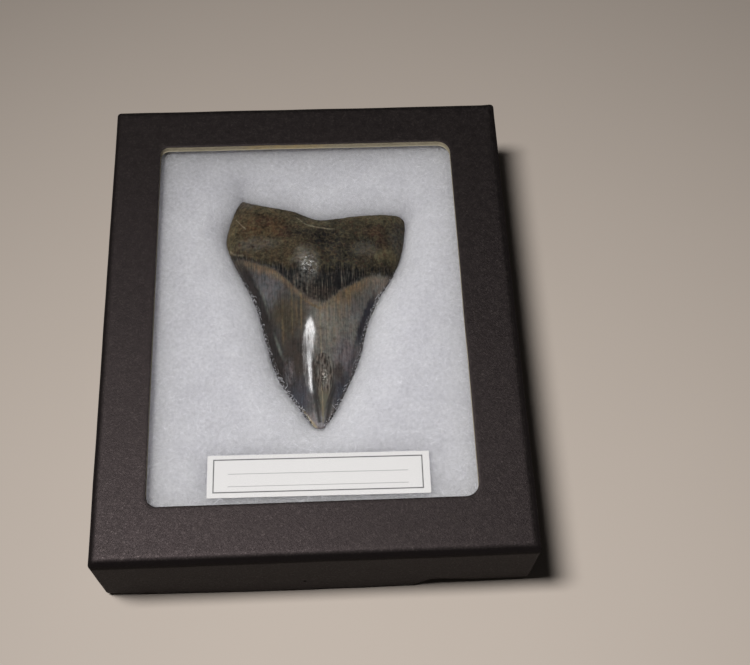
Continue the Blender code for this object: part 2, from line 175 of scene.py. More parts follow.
# Patches of the root, of the enamel and of the band: middle, reach across and along, strength, tint
ROOT_PATCHES = (
    (-15.0, 61.5, 10.5, 7.0, 0.7, "rust"), (-8.2, 59.4, 4.2, 3.4, 0.8, "red"),
    (-14.6, 63.4, 4.6, 2.6, 0.6, "red"), (-25.0, 61.5, 4.2, 10.0, 0.7, "olive"),
    (-20.0, 71.8, 4.4, 4.2, 0.6, "grey"), (-13.0, 68.5, 11.0, 3.2, 0.5, "olive"),
    (-16.5, 56.0, 9.0, 3.4, 0.5, "grey"), (-1.0, 64.0, 8.5, 5.0, 0.75, "moss"),
    (2.6, 57.2, 7.5, 5.0, 0.9, "black"), (-5.0, 59.4, 5.5, 2.6, 0.7, "black"),
    (-1.5, 63.0, 6.5, 2.6, 0.55, "olive"), (6.5, 51.5, 8.0, 8.0, 0.6, "dark"),
    (-2.8, 49.2, 5.0, 7.0, 0.75, "pearl"), (17.6, 59.2, 4.8, 3.0, 0.7, "red"),
    (19.4, 55.6, 2.6, 3.6, 0.6, "red"),
    (17.0, 64.5, 14.0, 3.4, 0.5, "olive"), (24.8, 57.5, 4.2, 8.0, 0.5, "grey"),
    (21.0, 51.5, 6.5, 3.4, 0.6, "olive"), (14.5, 53.5, 5.5, 4.5, 0.5, "grey"))
ENAMEL_PATCHES = (
    (-14.5, 42.5, 8.0, 9.5, 0.85, "blue"), (3.0, 29.0, 8.0, 12.0, 0.8, "ash"),
    (11.5, 37.0, 5.0, 9.0, 0.6, "blue"), (8.4, 21.0, 6.0, 9.0, 0.8, "lilac"),
    (12.6, 40.0, 6.0, 8.0, 0.7, "grey"),
    (-9.5, 31.5, 6.5, 11.0, 0.95, "brown"), (-5.4, 33.0, 4.2, 8.0, 0.75, "brown"),
    (-5.2, 20.5, 5.4, 12.0, 0.95, "umber"), (-8.4, 21.5, 4.0, 8.0, 0.75, "umber"),
    (-11.6, 27.0, 2.6, 8.0, 0.4, "slate"), (-6.2, 9.2, 7.0, 8.5, 0.95, "slate"),
    (6.6, 10.0, 5.6, 10.0, 0.95, "slate"), (5.9, 16.4, 2.6, 3.4, 0.7, "umber"))
BAND_PATCHES = (
    (-0.5, 38.0, 9.0, 5.0, 0.75, "umber"), (-2.6, 45.5, 4.6, 6.5, 0.6, "grey"),
    (-10.0, 47.0, 7.5, 2.4, 0.9, "black"), (7.5, 44.5, 6.5, 6.5, 0.75, "black"))

# Grid of the tooth's faces, the fields that it carries, and the value of a line that is nowhere near
TOOTH_GRID = (140, 290)
TOOTH_FIELDS = ("root_line", "enamel_line", "cutting_edge", "root_rim", "crease", "flake", "crack")
FAR = 9.0
# Root's edge on the flat face: its height at the sides and its rise in the middle, in millimetres
BACK_LINE_HEIGHT = 47.0
BACK_LINE_RISE = 6.0
# Steps along a smooth line, along each side of the tooth's outline, and across its tip
LINE_STEPS = 160
OUTLINE_STEPS = 260
TIP_STEPS = 12
# Serrations: side, and the part of it that they run along
SERRATED = ((0.0, 0.03, 0.66), (1.0, 0.03, 0.6))
SERRATION_STEPS = 160

# Inside of the tray, and the batting's grid, its top and its gap to the tray
TRAY_HALF_W = BASE_HIGH.x - WALL
TRAY_HALF_L = BASE_HIGH.y - WALL
BATTING_GRID = (190, 236)
BATTING_TOP = PANE_LOW.z - 0.1 * MM
BATTING_GAP = 0.3 * MM
# Bed under the label: middle, half size, and where its bank starts and ends outside that
BED_PLACE = (1.1 * MM, -46.6 * MM)
BED_HALF = (29.3 * MM, 6.1 * MM)
BED_BANK = (6.0 * MM, 0.3 * MM)
# Where along the box the batting beside the root rises, and how far, in millimetres
ROOT_RISE = (15.0, 25.0)
ROOT_RISE_HEIGHT = 1.4
END_RISE = (33.0, 38.0)
END_RISE_HEIGHT = 2.2
# How far inside the tooth's outline the pocket under it starts, its depth and the width of its bank
POCKET_INSET = 0.6 * MM
POCKET_DEPTH = 7.4 * MM
POCKET_BANK = 4.0 * MM
# How far the batting drops at the tray's wall, and how far in from the wall the drop starts
PILLOW_DROP = 3.0 * MM
PILLOW_REACH = 9.0 * MM
# Loose strands: piece, seed, share of the density, thickness and length
STRAND_SETS = (("batting_strands_a", 3, 0.6, 1.0, 0.9), ("batting_strands_b", 11, 0.45, 2.2, 0.5))
STRAND_POINTS = 8
# Bed that the clinging strands grow from, as distance out from the edge and height in millimetres
EDGE_ROWS = ((0.8, 1.2), (0.1, 0.4), (-0.8, 0.5))
EDGE_STEPS = 120
EDGE_DENSITY = 5500000.0
EDGE_STRAND = 0.34 * MM
# Where on the right edge most strands and lint cling, and how far round it, in millimetres from the tip
LINT_HEIGHT = 36.0
LINT_REACH = 9.0

# Label: size, turn in degrees, and the printed lines in millimetres from its middle
LABEL_SIZE = (58.1 * MM, 11.6 * MM)
LABEL_TURN = -0.54
LABEL_GRID = (96, 20)
BORDER_HALF = (27.25, 4.45)
RULED_LINES = (0.5, -2.9)
RULED_HALF = 23.5
PRINT_SHIFT = (0.15, -0.1)

# Rings of the lid's section: inner wall, underside, cut edge and its ease, face, roll, outer wall
INNER_RINGS = 14
UNDER_RINGS = 8
CUT_RINGS = 5
EASE_RINGS = 3
FACE_RINGS = 16
ROLL_RINGS = 9
OUTER_RINGS = 22

# Camera and key lamp, in metres and degrees
CAMERA_PLACE = (5.04 * MM, -148.94 * MM, 313.54 * MM)
CAMERA_TURN = (26.463, -1.233, -2.517)
KEY_PLACE = (-0.238, -0.02, 0.777)
KEY_SIZE = (0.26, 0.15)
KEY_TARGET = (0.06, -0.11, 0.0)
KEY_SPREAD = 68.0
FLOOR_SIZE = 4.0
FLOOR_LEVEL = -0.02 * MM
ROOM_COLOUR = (1.0, 0.97, 0.94, 1.0)

# Sockets of the Mix node for colours
MIX_A, MIX_B, MIX_RESULT = 6, 7, 2


def length_setting(name, description, default, **limits):
    """A size that a user may change."""
    return bpy.props.FloatProperty(name=name, description=description, default=default,
                                   subtype="DISTANCE", unit="LENGTH", precision=5, **limits)


def colour_setting(name, description, default):
    """A colour that a user may change."""
    return bpy.props.FloatVectorProperty(name=name, description=description, default=default,
                                         subtype="COLOR", size=3, min=0.0, max=1.0)


def share_setting(name, description, default):
    """A value from 0 to 1 that a user may change."""
    return bpy.props.FloatProperty(name=name, description=description, default=default,
                                   subtype="FACTOR", min=0.0, max=1.0)


class LidSettings(bpy.types.PropertyGroup):
    """Sizes and colours of the card lid and tray."""
    paper: colour_setting("Paper", "Black covering paper", (0.0042, 0.0035, 0.0034))
    fleck: colour_setting("Fleck", "Paler fibres in the paper", (0.024, 0.02, 0.018))
    board: colour_setting("Board", "Bare card where it is cut", (0.34, 0.29, 0.2))
    grain: length_setting("Grain", "Width of the paper's fine grain", 0.45 * MM)
    wave: length_setting("Waviness", "How far the walls swell and sink", 0.16 * MM)
    gloss: share_setting("Roughness", "Roughness of the paper on the walls", 0.72)
    rub: share_setting("Rubbing", "How much smoother the paper is on the top", 0.29)


class BattingSettings(bpy.types.PropertyGroup):
    """Sizes and colours of the white fibre fill."""
    fibre: colour_setting("Fibre", "White fibre", (0.72, 0.712, 0.742))
    shade: colour_setting("Shade", "Fibre between the tufts", (0.64, 0.632, 0.665))
    tuft: length_setting("Tuft height", "Height of the tufts", 0.22 * MM)
    reach: length_setting("Dimple reach", "How far round the tooth the batting sinks", 13.0 * MM)
    strand: length_setting("Strand length", "Length of a loose strand", 5.0 * MM)
    thickness: length_setting("Strand radius", "Radius of a loose strand", 0.026 * MM)
    spread: length_setting("Light spread", "How far light spreads inside the batting", 24.0 * MM)
    softness: share_setting("Softness", "How little the batting's slopes show", 0.75)
    fuzz: share_setting("Fuzz", "Contrast of the fine fuzzy grain", 0.14)
    density: bpy.props.FloatProperty(name="Strand density", description="Strands per square metre",
                                     default=430000.0, min=0.0)


class ToothSettings(bpy.types.PropertyGroup):
    """Sizes and colours of the fossil tooth."""
    enamel_warm: colour_setting("Warm enamel", "Enamel on the left", (0.064, 0.058, 0.054))
    enamel_cool: colour_setting("Cool enamel", "Enamel on the right", (0.172, 0.157, 0.14))
    stain: colour_setting("Stain", "Tan stain below the dark band", (0.17, 0.115, 0.06))
    band: colour_setting("Dark band", "Band between root and enamel", (0.007, 0.0065, 0.0065))
    root: colour_setting("Root", "Brown bone of the root", (0.052, 0.038, 0.022))
    serration: length_setting("Serration", "Distance between serrations", 0.85 * MM)


class LabelSettings(bpy.types.PropertyGroup):
    """Sizes and colours of the label card."""
    card: colour_setting("Card", "White card", (0.83, 0.81, 0.79))
    ink: colour_setting("Ink", "Printed border", (0.02, 0.02, 0.025))
    line: length_setting("Border line", "Width of the printed border line", 0.34 * MM)


class StageSettings(bpy.types.PropertyGroup):
    """Camera, light and floor."""
    floor: colour_setting("Floor", "Plain pale floor", (0.47, 0.405, 0.35))
    key: bpy.props.FloatProperty(name="Key light", description="Power of the key light in watts",
                                 default=1.1, min=0.0)
    room: bpy.props.FloatProperty(name="Room light", description="Strength of the light all round",
                                  default=0.022, min=0.0)
    lens: bpy.props.FloatProperty(name="Lens", description="Focal length of the camera in millimetres",
                                  default=55.84, min=1.0)


def reckoned(operation, swapped=False):
    """A method that joins a value with another one in a Math node."""
    def method(self, other):
        pair = (other, self) if swapped else (self, other)
        return self.finish.math(operation, *pair)
    return method


class Value:
    """An output of a node. Adding, subtracting, multiplying and dividing it makes Math nodes."""
    __add__, __radd__ = reckoned("ADD"), reckoned("ADD", True)
    __sub__, __rsub__ = reckoned("SUBTRACT"), reckoned("SUBTRACT", True)
    __mul__, __rmul__ = reckoned("MULTIPLY"), reckoned("MULTIPLY", True)
    __truediv__, __rtruediv__ = reckoned("DIVIDE"), reckoned("DIVIDE", True)

    def __init__(self, finish, socket):
        self.finish = finish
        self.socket = socket


class Outputs:
    """The outputs of a node as values, by name or number."""

    def __init__(self, finish, node):
        self.finish = finish
        self.sockets = node.outputs

    def __getitem__(self, key):
        return Value(self.finish, self.sockets[key])


class Finish:
    """A node tree, with short ways to add the nodes that a finish is made of."""

    def __init__(self, tree):
        self.tree = tree

    def set(self, socket, value):
        value = getattr(value, "socket", value)
        if isinstance(value, bpy.types.NodeSocket):
            self.tree.links.new(value, socket)
        elif socket.type == "RGBA" and len(value) == 3:
            socket.default_value = (*value, 1.0)
        else:
            socket.default_value = value

    def fill(self, node, **values):
        """Set or link inputs of a node; a space in a name is written as an underscore."""
        for name, value in values.items():
            self.set(node.inputs[name.replace("_", " ")], value)

    def raw_node(self, kind, values=None, **settings):
        made = self.tree.nodes.new(kind)
        for name, value in settings.items():
            setattr(made, name, value)
        for name, value in (values or {}).items():
            self.set(made.inputs[name], value)
        return made

    def node(self, kind, values=None, **settings):
        return Outputs(self, self.raw_node(kind, values, **settings))

    def group(self, tree, **values):
        return self.node("ShaderNodeGroup", values, node_tree=tree)

    def math(self, operation, a, b=0.0, c=0.0):
        return self.node("ShaderNodeMath", {0: a, 1: b, 2: c}, operation=operation)[0]

    def vector(self, operation, a, b=(0.0, 0.0, 0.0)):
        return self.node("ShaderNodeVectorMath", {0: a, 1: b}, operation=operation)[0]

    def scaled(self, vector, factor):
        return self.node("ShaderNodeVectorMath", {0: vector, "Scale": factor}, operation="SCALE")[0]

    def most(self, a, b):
        return self.math("MAXIMUM", a, b)

    def fade(self, value, low, high):
        """A soft step that is 0 at low and 1 at high, whichever of them is larger."""
        return self.node("ShaderNodeMapRange", {"Value": value, "From Min": low, "From Max": high},
                         interpolation_type="SMOOTHSTEP")[0]

    def ridge(self, value, middle, half):
        """1 on a middle value, and 0 from half away."""
        return self.fade(self.math("ABSOLUTE", value - middle), half, 0.0)

    def mix(self, mask, a, b, blend="MIX"):
        return self.node("ShaderNodeMix", {0: mask, MIX_A: a, MIX_B: b}, data_type="RGBA",
                         blend_type=blend)[MIX_RESULT]

    def kept(self, where, share):
        """A factor that is 1 outside a mask and the given share inside it."""
        return 1.0 - where * (1.0 - share)

    def shaded(self, colour, shade):
        return self.mix(1.0, colour, shade, "MULTIPLY")

    def attribute(self, name):
        return self.node("ShaderNodeAttribute", attribute_name=name)["Fac"]

    def place(self, origin=(0.0, 0.0, 0.0)):
        """Object coordinates in millimetres from an origin."""
        spot = self.node("ShaderNodeTexCoord")["Object"]
        return self.scaled(self.vector("SUBTRACT", spot, origin), 1 / MM)

    def split(self, vector):
        return self.node("ShaderNodeSeparateXYZ", {0: vector})

    def stretched(self, vector, factors):
        return self.vector("MULTIPLY", vector, factors)

    def noise(self, vector, scale, detail=3.0, rough=0.5, distortion=0.0):
        return self.node("ShaderNodeTexNoise", {
            "Vector": vector, "Scale": scale, "Detail": detail, "Roughness": rough,
            "Distortion": distortion})[0]

    def patch(self, place, x, y, across, along):
        """A soft patch round a point of the plan: 1 in its middle, and 0 from its reach outwards."""
        offset = self.vector("SUBTRACT", place, (x, y, 0.0))
        shares = self.stretched(offset, (1 / across, 1 / along, 0.0))
        away = self.node("ShaderNodeVectorMath", {0: shares}, operation="LENGTH")["Value"]
        return self.fade(away, 1.0, 0.25)

    def shifted(self, vector, scale, reach):
        """A place moved about by soft noise, so that what is drawn from it gets a ragged outline."""
        sway = self.node("ShaderNodeTexNoise", {"Vector": vector, "Scale": scale, "Detail": 3.0})
        middle = self.vector("SUBTRACT", sway["Color"], (0.5, 0.5, 0.5))
        return self.vector("ADD", vector, self.stretched(middle, (reach, reach, reach)))

    def cells(self, vector, scale, **settings):
        return self.node("ShaderNodeTexVoronoi", {"Vector": vector, "Scale": scale}, **settings)[0]

    def bump(self, height, depth, strength=1.0, normal=None):
        values = {"Height": height, "Distance": depth, "Strength": strength}
        if normal is not None:
            values["Normal"] = normal
        return self.node("ShaderNodeBump", values)[0]


def new_group(name, inputs, outputs):
    """An empty shader group; inputs are (name, kind, default), outputs are (name, kind)."""
    tree = bpy.data.node_groups.new(name, "ShaderNodeTree")
    for label, kind, default in inputs:
        socket = tree.interface.new_socket(label, in_out="INPUT", socket_type="NodeSocket" + kind)
        if default is not None:
            socket.default_value = default
    for label, kind in outputs:
        tree.interface.new_socket(label, in_out="OUTPUT", socket_type="NodeSocket" + kind)
    finish = Finish(tree)
    return finish, finish.node("NodeGroupInput"), finish.raw_node("NodeGroupOutput")


def shared(name):
    """Build a node group the first time it is asked for, and find it by its name after that."""
    def wrap(build):
        return lambda: bpy.data.node_groups.get(name) or build(name)
    return wrap


@shared("paper grain")
def paper_grain_group(name):
    """Fine pressed grain, scattered pale fibres and a broad unevenness, as covering paper has."""
    g, given, out = new_group(name, (("Place", "Vector", None), ("Grain", "Float", 0.5)),
                              (("Height", "Float"), ("Fleck", "Float"), ("Mottle", "Float")))
    fineness = 1.0 / given["Grain"]
    place = given["Place"]
    cells = g.cells(place, fineness, feature="SMOOTH_F1")
    soft = g.noise(place, fineness * 0.8, 5.0, 0.65, 0.6)
    fibres = g.noise(place, fineness * 0.55, 3.0, 0.6, 2.5)
    lines = g.ridge(fibres, 0.5, 0.06)
    patches = g.noise(place, fineness * 0.22, 3.0, 0.6)
    flecks = g.fade(soft, 0.46, 0.7) * g.fade(patches, 0.25, 0.6)
    g.fill(out, Height=cells * 0.5 + (soft + lines * 0.25), Fleck=flecks, Mottle=patches)
    return g.tree


@shared("filaments")
def filament_group(name):
    """Fine tangled threads: bright ridges that wander through each other at two sizes."""
    g, given, out = new_group(name, (("Place", "Vector", None), ("Thread", "Float", 0.3)),
                              (("Height", "Float"), ("Tuft", "Float")))
    fineness = 1.0 / given["Thread"]
    place = given["Place"]
    total = 0.0
    for size, share, turn in ((0.12, 0.45, 3.0), (0.24, 0.35, 2.0), (0.45, 0.2, 1.5)):
        wander = g.noise(place, fineness * size, 2.0, 0.5, turn)
        total = total + g.ridge(wander, 0.5, 0.09) * share
    g.fill(out, Height=total, Tuft=g.noise(place, fineness * 0.07, 4.0, 0.6))
    return g.tree


@shared("mottle")
def mottle_group(name):
    """Uneven patches with a chosen contrast, from -1 to 1 round nothing."""
    g, given, out = new_group(name, (
        ("Place", "Vector", None), ("Size", "Float", 1.0), ("Detail", "Float", 4.0),
        ("Contrast", "Float", 3.0)), (("Value", "Float"), ("Mask", "Float")))
    raw = g.noise(given["Place"], 1.0 / given["Size"], given["Detail"], 0.62)
    value = (raw - 0.5) * given["Contrast"]
    g.fill(out, Value=value, Mask=g.fade(value, -0.35, 0.35))
    return g.tree


def new_material(name, roughness=0.5, **plain):
    """A material with its tree, its Principled shader and the plain values that are even all over."""
    mat = bpy.data.materials.new(name)
    mat.use_nodes = True
    shader = mat.node_tree.nodes["Principled BSDF"]
    finish = Finish(mat.node_tree)
    finish.fill(shader, Roughness=roughness, **plain)
    return mat, finish, shader


def paper_material(name, settings, lift=1.0):
    """Black covering paper with a fine fibrous grain, rubbed a little smoother on the top, with painted
    shade on its walls and rolled edge.
    """
    mat, g, shader = new_material(name, Specular_IOR_Level=0.31, Specular_Tint=(1.0, 0.8, 0.8, 1.0))
    place = g.place()
    height = g.split(place)[2]
    rim = BOX_H / MM
    top = g.fade(height, rim - 0.8, rim - 0.15)
    grain = g.group(paper_grain_group(), Place=place, Grain=settings.grain / MM)
    mottle = g.fade(grain["Mottle"], 0.35, 0.65)
    colour = g.mix(mottle * 0.6, settings.paper, [c * 2.0 for c in settings.paper])
    colour = g.mix(grain["Fleck"] * lift, colour, settings.fleck)
    # Painted shade: the walls are darker than the top, and the rolled edge just below the top is darker
    # still.
    roll = g.fade(height, rim - 0.1, rim - 0.55) * g.fade(height, rim - 4.2, rim - 2.4)
    tone = 0.55 + (top * 0.45 + roll * -0.45)
    rough = top * -settings.rub + (settings.gloss + grain["Mottle"] * 0.1)
    rough = rough + roll * 0.45
    g.fill(shader, Base_Color=g.shaded(colour, tone), Roughness=rough + grain["Fleck"] * -0.14,
           Normal=g.bump(grain["Height"], 0.05 * MM, 0.8))
    return mat


def board_material(settings):
    """Bare grey-tan card in layers, stained warmer where the paper has come away."""
    mat, g, shader = new_material("bare board", 0.85)
    place = g.place()
    x, _, z = g.split(place)
    layers = g.noise(g.stretched(place, (0.5, 0.5, 9.0)), 1.0, 3.0)
    threads = g.group(filament_group(), Place=place, Thread=0.25)
    bare = g.fade(x, -21.0, -15.0) * g.fade(x, 9.0, 1.0)
    warm = g.mix(bare, settings.board, [c * s for c, s in zip(settings.board, (1.2, 1.0, 0.62))])
    colour = g.mix(g.fade(layers, 0.35, 0.65), warm, [c * 0.62 for c in settings.board])
    colour = g.mix(threads["Height"] * 0.4, colour, [min(c * 1.5, 1.0) for c in settings.board])
    # Paler towards the lower edge of the cut.
    hem = g.fade(z, LID_UNDER / MM + 0.45, LID_UNDER / MM + 0.1)
    g.fill(shader, Base_Color=g.mix(hem * 0.7, colour, (0.5, 0.45, 0.33)),
           Normal=g.bump(layers + threads["Height"], 0.05 * MM))
    return mat


def glass_material():
    """Clear glass, which lets the light through to what lies under it."""
    mat, g, shader = new_material("clear glass", 0.015, Base_Color=(0.99, 0.99, 0.99),
                                  Transmission_Weight=1.0, IOR=1.5)
    smears = g.noise(g.place(), 0.06, 3.0, 0.55, 0.8)
    g.fill(shader, Roughness=0.004 + g.fade(smears, 0.5, 0.9) * 0.03)
    clear = g.node("ShaderNodeBsdfTransparent", {"Color": (0.94, 0.94, 0.945)})
    path = g.node("ShaderNodeLightPath")
    within = g.math("LESS_THAN", path["Transmission Depth"], 1.5)
    seen = g.most(path["Is Camera Ray"], path["Is Transmission Ray"])
    seen = g.most(seen, path["Is Glossy Ray"] * within)
    both = g.node("ShaderNodeMixShader", {0: seen, 1: clear[0], 2: shader.outputs[0]})
    g.fill(mat.node_tree.nodes["Material Output"], Surface=both[0])
    return mat


@shared("soft normal")
def soft_normal_group(name):
    """The normal of a loose fibre mass, turned part of the way to straight up as light spreads in it."""
    g, given, out = new_group(name, (("Softness", "Float", 0.8),), (("Normal", "Vector"),))
    own = g.node("ShaderNodeNewGeometry")["Normal"]
    up = g.node("ShaderNodeVectorTransform", {0: (0.0, 0.0, 1.0)}, vector_type="NORMAL",
                convert_from="OBJECT", convert_to="WORLD")[0]
    both = g.node("ShaderNodeMix", {0: given["Softness"], 4: own, 5: up}, data_type="VECTOR")
    g.fill(out, Normal=g.vector("NORMALIZE", both[1]))
    return g.tree


def batting_material(settings, name, depth, scatter=0.0, lift=1.0):
    """White fibre fill, with tangled threads, softly shaded tufts and painted shade towards the far left;
    light spreads inside it.
    """
    mat, g, shader = new_material(name, 0.95, Sheen_Weight=0.2, Specular_IOR_Level=0.2,
                                  Subsurface_Weight=scatter, Subsurface_Radius=(1.0, 1.0, 1.05),
                                  Subsurface_Scale=settings.spread)
    place = g.place()
    threads = g.group(filament_group(), Place=place, Thread=0.42)
    light = threads["Height"] * 0.75 + g.fade(threads["Tuft"], 0.3, 0.7) * 0.5
    colour = g.mix(light, settings.shade, [c * lift for c in settings.fibre])
    fuzz = g.group(mottle_group(), Place=g.shifted(place, 0.6, 1.5), Size=1.0, Detail=5.0, Contrast=4.0)
    x, y, _ = g.split(place)
    # Painted shade: the batting is darker towards the far side and the left.
    painted_far_shade = g.fade(y + x * -0.3, 36.0, 68.0)
    shade = 0.985 + painted_far_shade * -0.2 + fuzz["Value"] * settings.fuzz
    normal = g.group(soft_normal_group(), Softness=settings.softness)["Normal"]
    height = threads["Height"] + fuzz["Value"] * 0.6
    g.fill(shader, Base_Color=g.shaded(colour, shade), Normal=g.bump(height, depth, 0.7, normal))
    return mat


def label_material(settings):
    """White card with a thin printed border and two ruled lines to write on."""
    mat, g, shader = new_material("label card", 0.6, Specular_IOR_Level=0.35)
    grain = g.group(paper_grain_group(), Place=g.place(), Grain=0.35)
    x = g.attribute("card_x")
    y = g.attribute("card_y")
    half = settings.line / MM / 2
    away_x = g.math("ABSOLUTE", x) - BORDER_HALF[0]
    away_y = g.math("ABSOLUTE", y) - BORDER_HALF[1]
    frame_line = g.ridge(g.most(away_x, away_y), 0.0, half * 1.6)
    within = g.fade(g.math("ABSOLUTE", x), RULED_HALF + 0.1, RULED_HALF - 0.1)
    rules = g.most(*(g.ridge(y, line, 0.16) for line in RULED_LINES))
    ink = g.most(frame_line, rules * within * 0.55)
    ink = ink * (0.82 + grain["Mottle"] * 0.3)
    top = g.attribute("printed")
    card = g.mix(grain["Mottle"] * 0.35, settings.card, [c * 0.93 for c in settings.card])
    g.fill(shader, Base_Color=g.mix(ink * top, card, settings.ink),
           Normal=g.bump(grain["Height"], 0.012 * MM, 0.6))
    return mat


def floor_material(settings):
    """Plain pale matt floor."""
    mat, g, shader = new_material("pale floor", 0.7, Specular_IOR_Level=0.3)
    cloud = g.group(mottle_group(), Place=g.place(), Size=60.0, Detail=2.0, Contrast=1.0)
    colour = g.mix(cloud["Mask"] * 0.3, settings.floor, [c * 0.96 for c in settings.floor])
    g.fill(shader, Base_Color=colour)
    return mat


def lint_share(g, on_right, y):
    """How much lint clings to the edges: all of it on the left, most of it at one height on the right."""
    return g.kept(on_right, 0.35 + g.ridge(y, LINT_HEIGHT, LINT_REACH) * 0.65)


def serration_material(settings):
    """Dark worn enamel of the fine teeth along the cutting edges."""
    mat, g, shader = new_material("serrated enamel", 0.8, Specular_IOR_Level=0.2)
    place = g.place()
    spots = g.group(mottle_group(), Place=place, Size=0.7, Detail=3.0, Contrast=3.0)
    colour = g.mix(spots["Mask"], (0.016, 0.014, 0.014), settings.enamel_warm)
    lint = g.fade(g.noise(place, 3.0, 2.0, 0.6), 0.56, 0.66)
    x, y, _ = g.split(g.place(TOOTH_TIP))
    lint = lint * lint_share(g, g.fade(x, 0.0, 3.0), y)
    g.fill(shader, Base_Color=g.mix(lint * 0.5, colour, LINT), Normal=g.bump(spots["Value"], 0.04 * MM))
    return mat


def tooth_material(settings):
    """Fossil tooth: mottled root, dark striated band, tan stain, and glossy streaked enamel."""
    mat, g, shader = new_material("fossil tooth", Specular_IOR_Level=0.22)
    place = g.place(TOOTH_TIP)
    x, y, _ = g.split(place)
    ragged = g.shifted(place, 0.6, 3.2)
    above_root, above_enamel, edge, rim, crease, flake, crack = (g.attribute(name) for name in TOOTH_FIELDS)

    def mottled(spot, size, detail, contrast):
        return g.group(mottle_group(), Place=spot, Size=size, Detail=detail, Contrast=contrast)

    broad = mottled(place, 3.4, 4.0, 3.0)["Value"]
    grit = mottled(place, 0.9, 5.0, 4.5)["Value"]
    wander = mottled(place, 1.3, 3.0, 2.0)["Value"]
    cast = mottled(g.stretched(place, (1.0, 0.7, 1.0)), 1.5, 4.0, 4.0)
    hair = g.noise(g.stretched(place, (3.2, 0.14, 0.5)), 1.0, 3.0, 0.6)
    strand = g.noise(g.stretched(place, (1.1, 0.07, 0.3)), 1.0, 3.0, 0.6)
    fine_hair = g.fade(hair, 0.36, 0.64)

    def tinted(colour, patches):
        for cx, cy, across, along, strength, tint in patches:
            colour = g.mix(g.patch(ragged, cx, cy, across, along) * strength, colour, TINTS[tint])
        return colour

    comb = (fine_hair - 0.5) * (0.4 + g.fade(x, -12.0, -4.0) * 2.2)
    # Where the root and the dark band lie
    root_mask = g.fade(above_root + (wander * 0.9 + comb), -1.2, 1.2)
    band_mask = g.fade(above_enamel + (wander * 0.6 + fine_hair * 0.9), 0.0, 1.5)

    # Enamel: warm on the left, streaked, stained below the band, dark along the edges and pale at the tip
    right = g.fade(x + broad * 3.0, -9.0, 9.0)
    enamel = g.mix(right, settings.enamel_warm, settings.enamel_cool)
    enamel = tinted(enamel, ENAMEL_PATCHES)
    for middle, low, high, half, strength, tint in STREAKS:
        along = g.fade(y, low - 2.0, low + 3.0) * g.fade(y, high + 2.0, high - 2.0)
        line = g.ridge(x + wander * 0.3, middle, half * 1.8)
        enamel = g.mix(line * along * strength, enamel, TINTS[tint])
    right_arm = g.ridge(x, 9.5, 9.5)
    left_arm = g.ridge(x, -13.0, 11.0)
    below = above_enamel * -1.0
    reach = 1.7 + right_arm * 2.8 + (strand * 2.4 + wander * 1.2)
    stain_mask = g.fade(below / reach, 1.15, 0.2) * g.fade(below, -0.9, 0.3)
    arms = 0.3 + (right_arm * 0.6 + left_arm * 0.45)
    stain_mask = stain_mask * arms * (0.6 + fine_hair * 0.5)
    enamel = g.mix(stain_mask, enamel, settings.stain)
    hem = g.ridge(above_enamel + wander * 0.8, -1.4, 0.7) * g.ridge(x, -0.5, 6.0)
    enamel = g.mix(hem * 0.7, enamel, settings.stain)

    edge_reach = g.fade(x, 3.0, -3.0) * 1.7 + 3.1
    edge_mask = g.fade((edge + wander * 0.6) / edge_reach, 1.2, 0.75)
    edge_mask = edge_mask * (g.fade(y, 9.0, 16.0) * g.fade(y, 54.0, 46.0))
    on_right = g.fade(x, 0.0, 3.0)
    right_share = (0.45 + g.fade(y, 23.0, 28.0) * 0.55) * g.fade(y, 43.0, 38.0)
    edge_mask = edge_mask * g.kept(on_right, right_share)
    edge_colour = g.mix(g.fade(x, -3.0, 3.0), (0.021, 0.017, 0.016), (0.017, 0.017, 0.026))
    enamel = g.mix(edge_mask * 0.9, enamel, edge_colour)
    # Painted highlight: a pale sheen along the crease on the left of the blade.
    crease_highlight = g.ridge(crease + wander * 0.2, 0.35, 0.7) * g.fade(x, 0.0, -4.0)
    crease_highlight = crease_highlight * (g.ridge(y, 25.0, 6.0) + g.ridge(y, 39.0, 8.0) * 0.7)
    enamel = g.mix(crease_highlight * 0.6, enamel, TINTS["lichen"])
    scuffs = g.fade(g.noise(g.stretched(place, (1.3, 0.5, 1.0)), 1.0, 5.0, 0.7), 0.36, 0.64)
    blotch = g.patch(g.shifted(place, 1.0, 1.0), -8.2, 16.8, 2.2, 5.4) * scuffs
    enamel = g.mix(blotch * 0.55, enamel, (0.2, 0.18, 0.19))
    tip_mask = g.fade(y + wander * 1.0, 7.0, 2.5)
    enamel = g.mix(tip_mask * 0.75, enamel, (0.23, 0.206, 0.212))
    cream_edge = g.fade(y, 8.0, 4.0) * (g.fade(edge, 1.5, 0.6) * g.fade(x, 0.0, -1.2))
    enamel = g.mix(cream_edge * 0.7, enamel, (0.36, 0.29, 0.16))
    shade = 0.74 + grit * 0.3 + (fine_hair * 0.4 + broad * 0.3)
    enamel = g.shaded(enamel, shade)

    # Dark band with fine pale lines
    lines = g.fade(g.noise(g.stretched(place, (3.7, 0.13, 0.4)), 1.0, 3.0, 0.6), 0.5, 0.64)
    band = tinted(settings.band, BAND_PATCHES)
    band = g.mix(lines * 0.65, band, (0.145, 0.126, 0.1))
    shade = 0.5 + grit * 0.8 + fine_hair * 0.8
    band = g.shaded(band, shade)

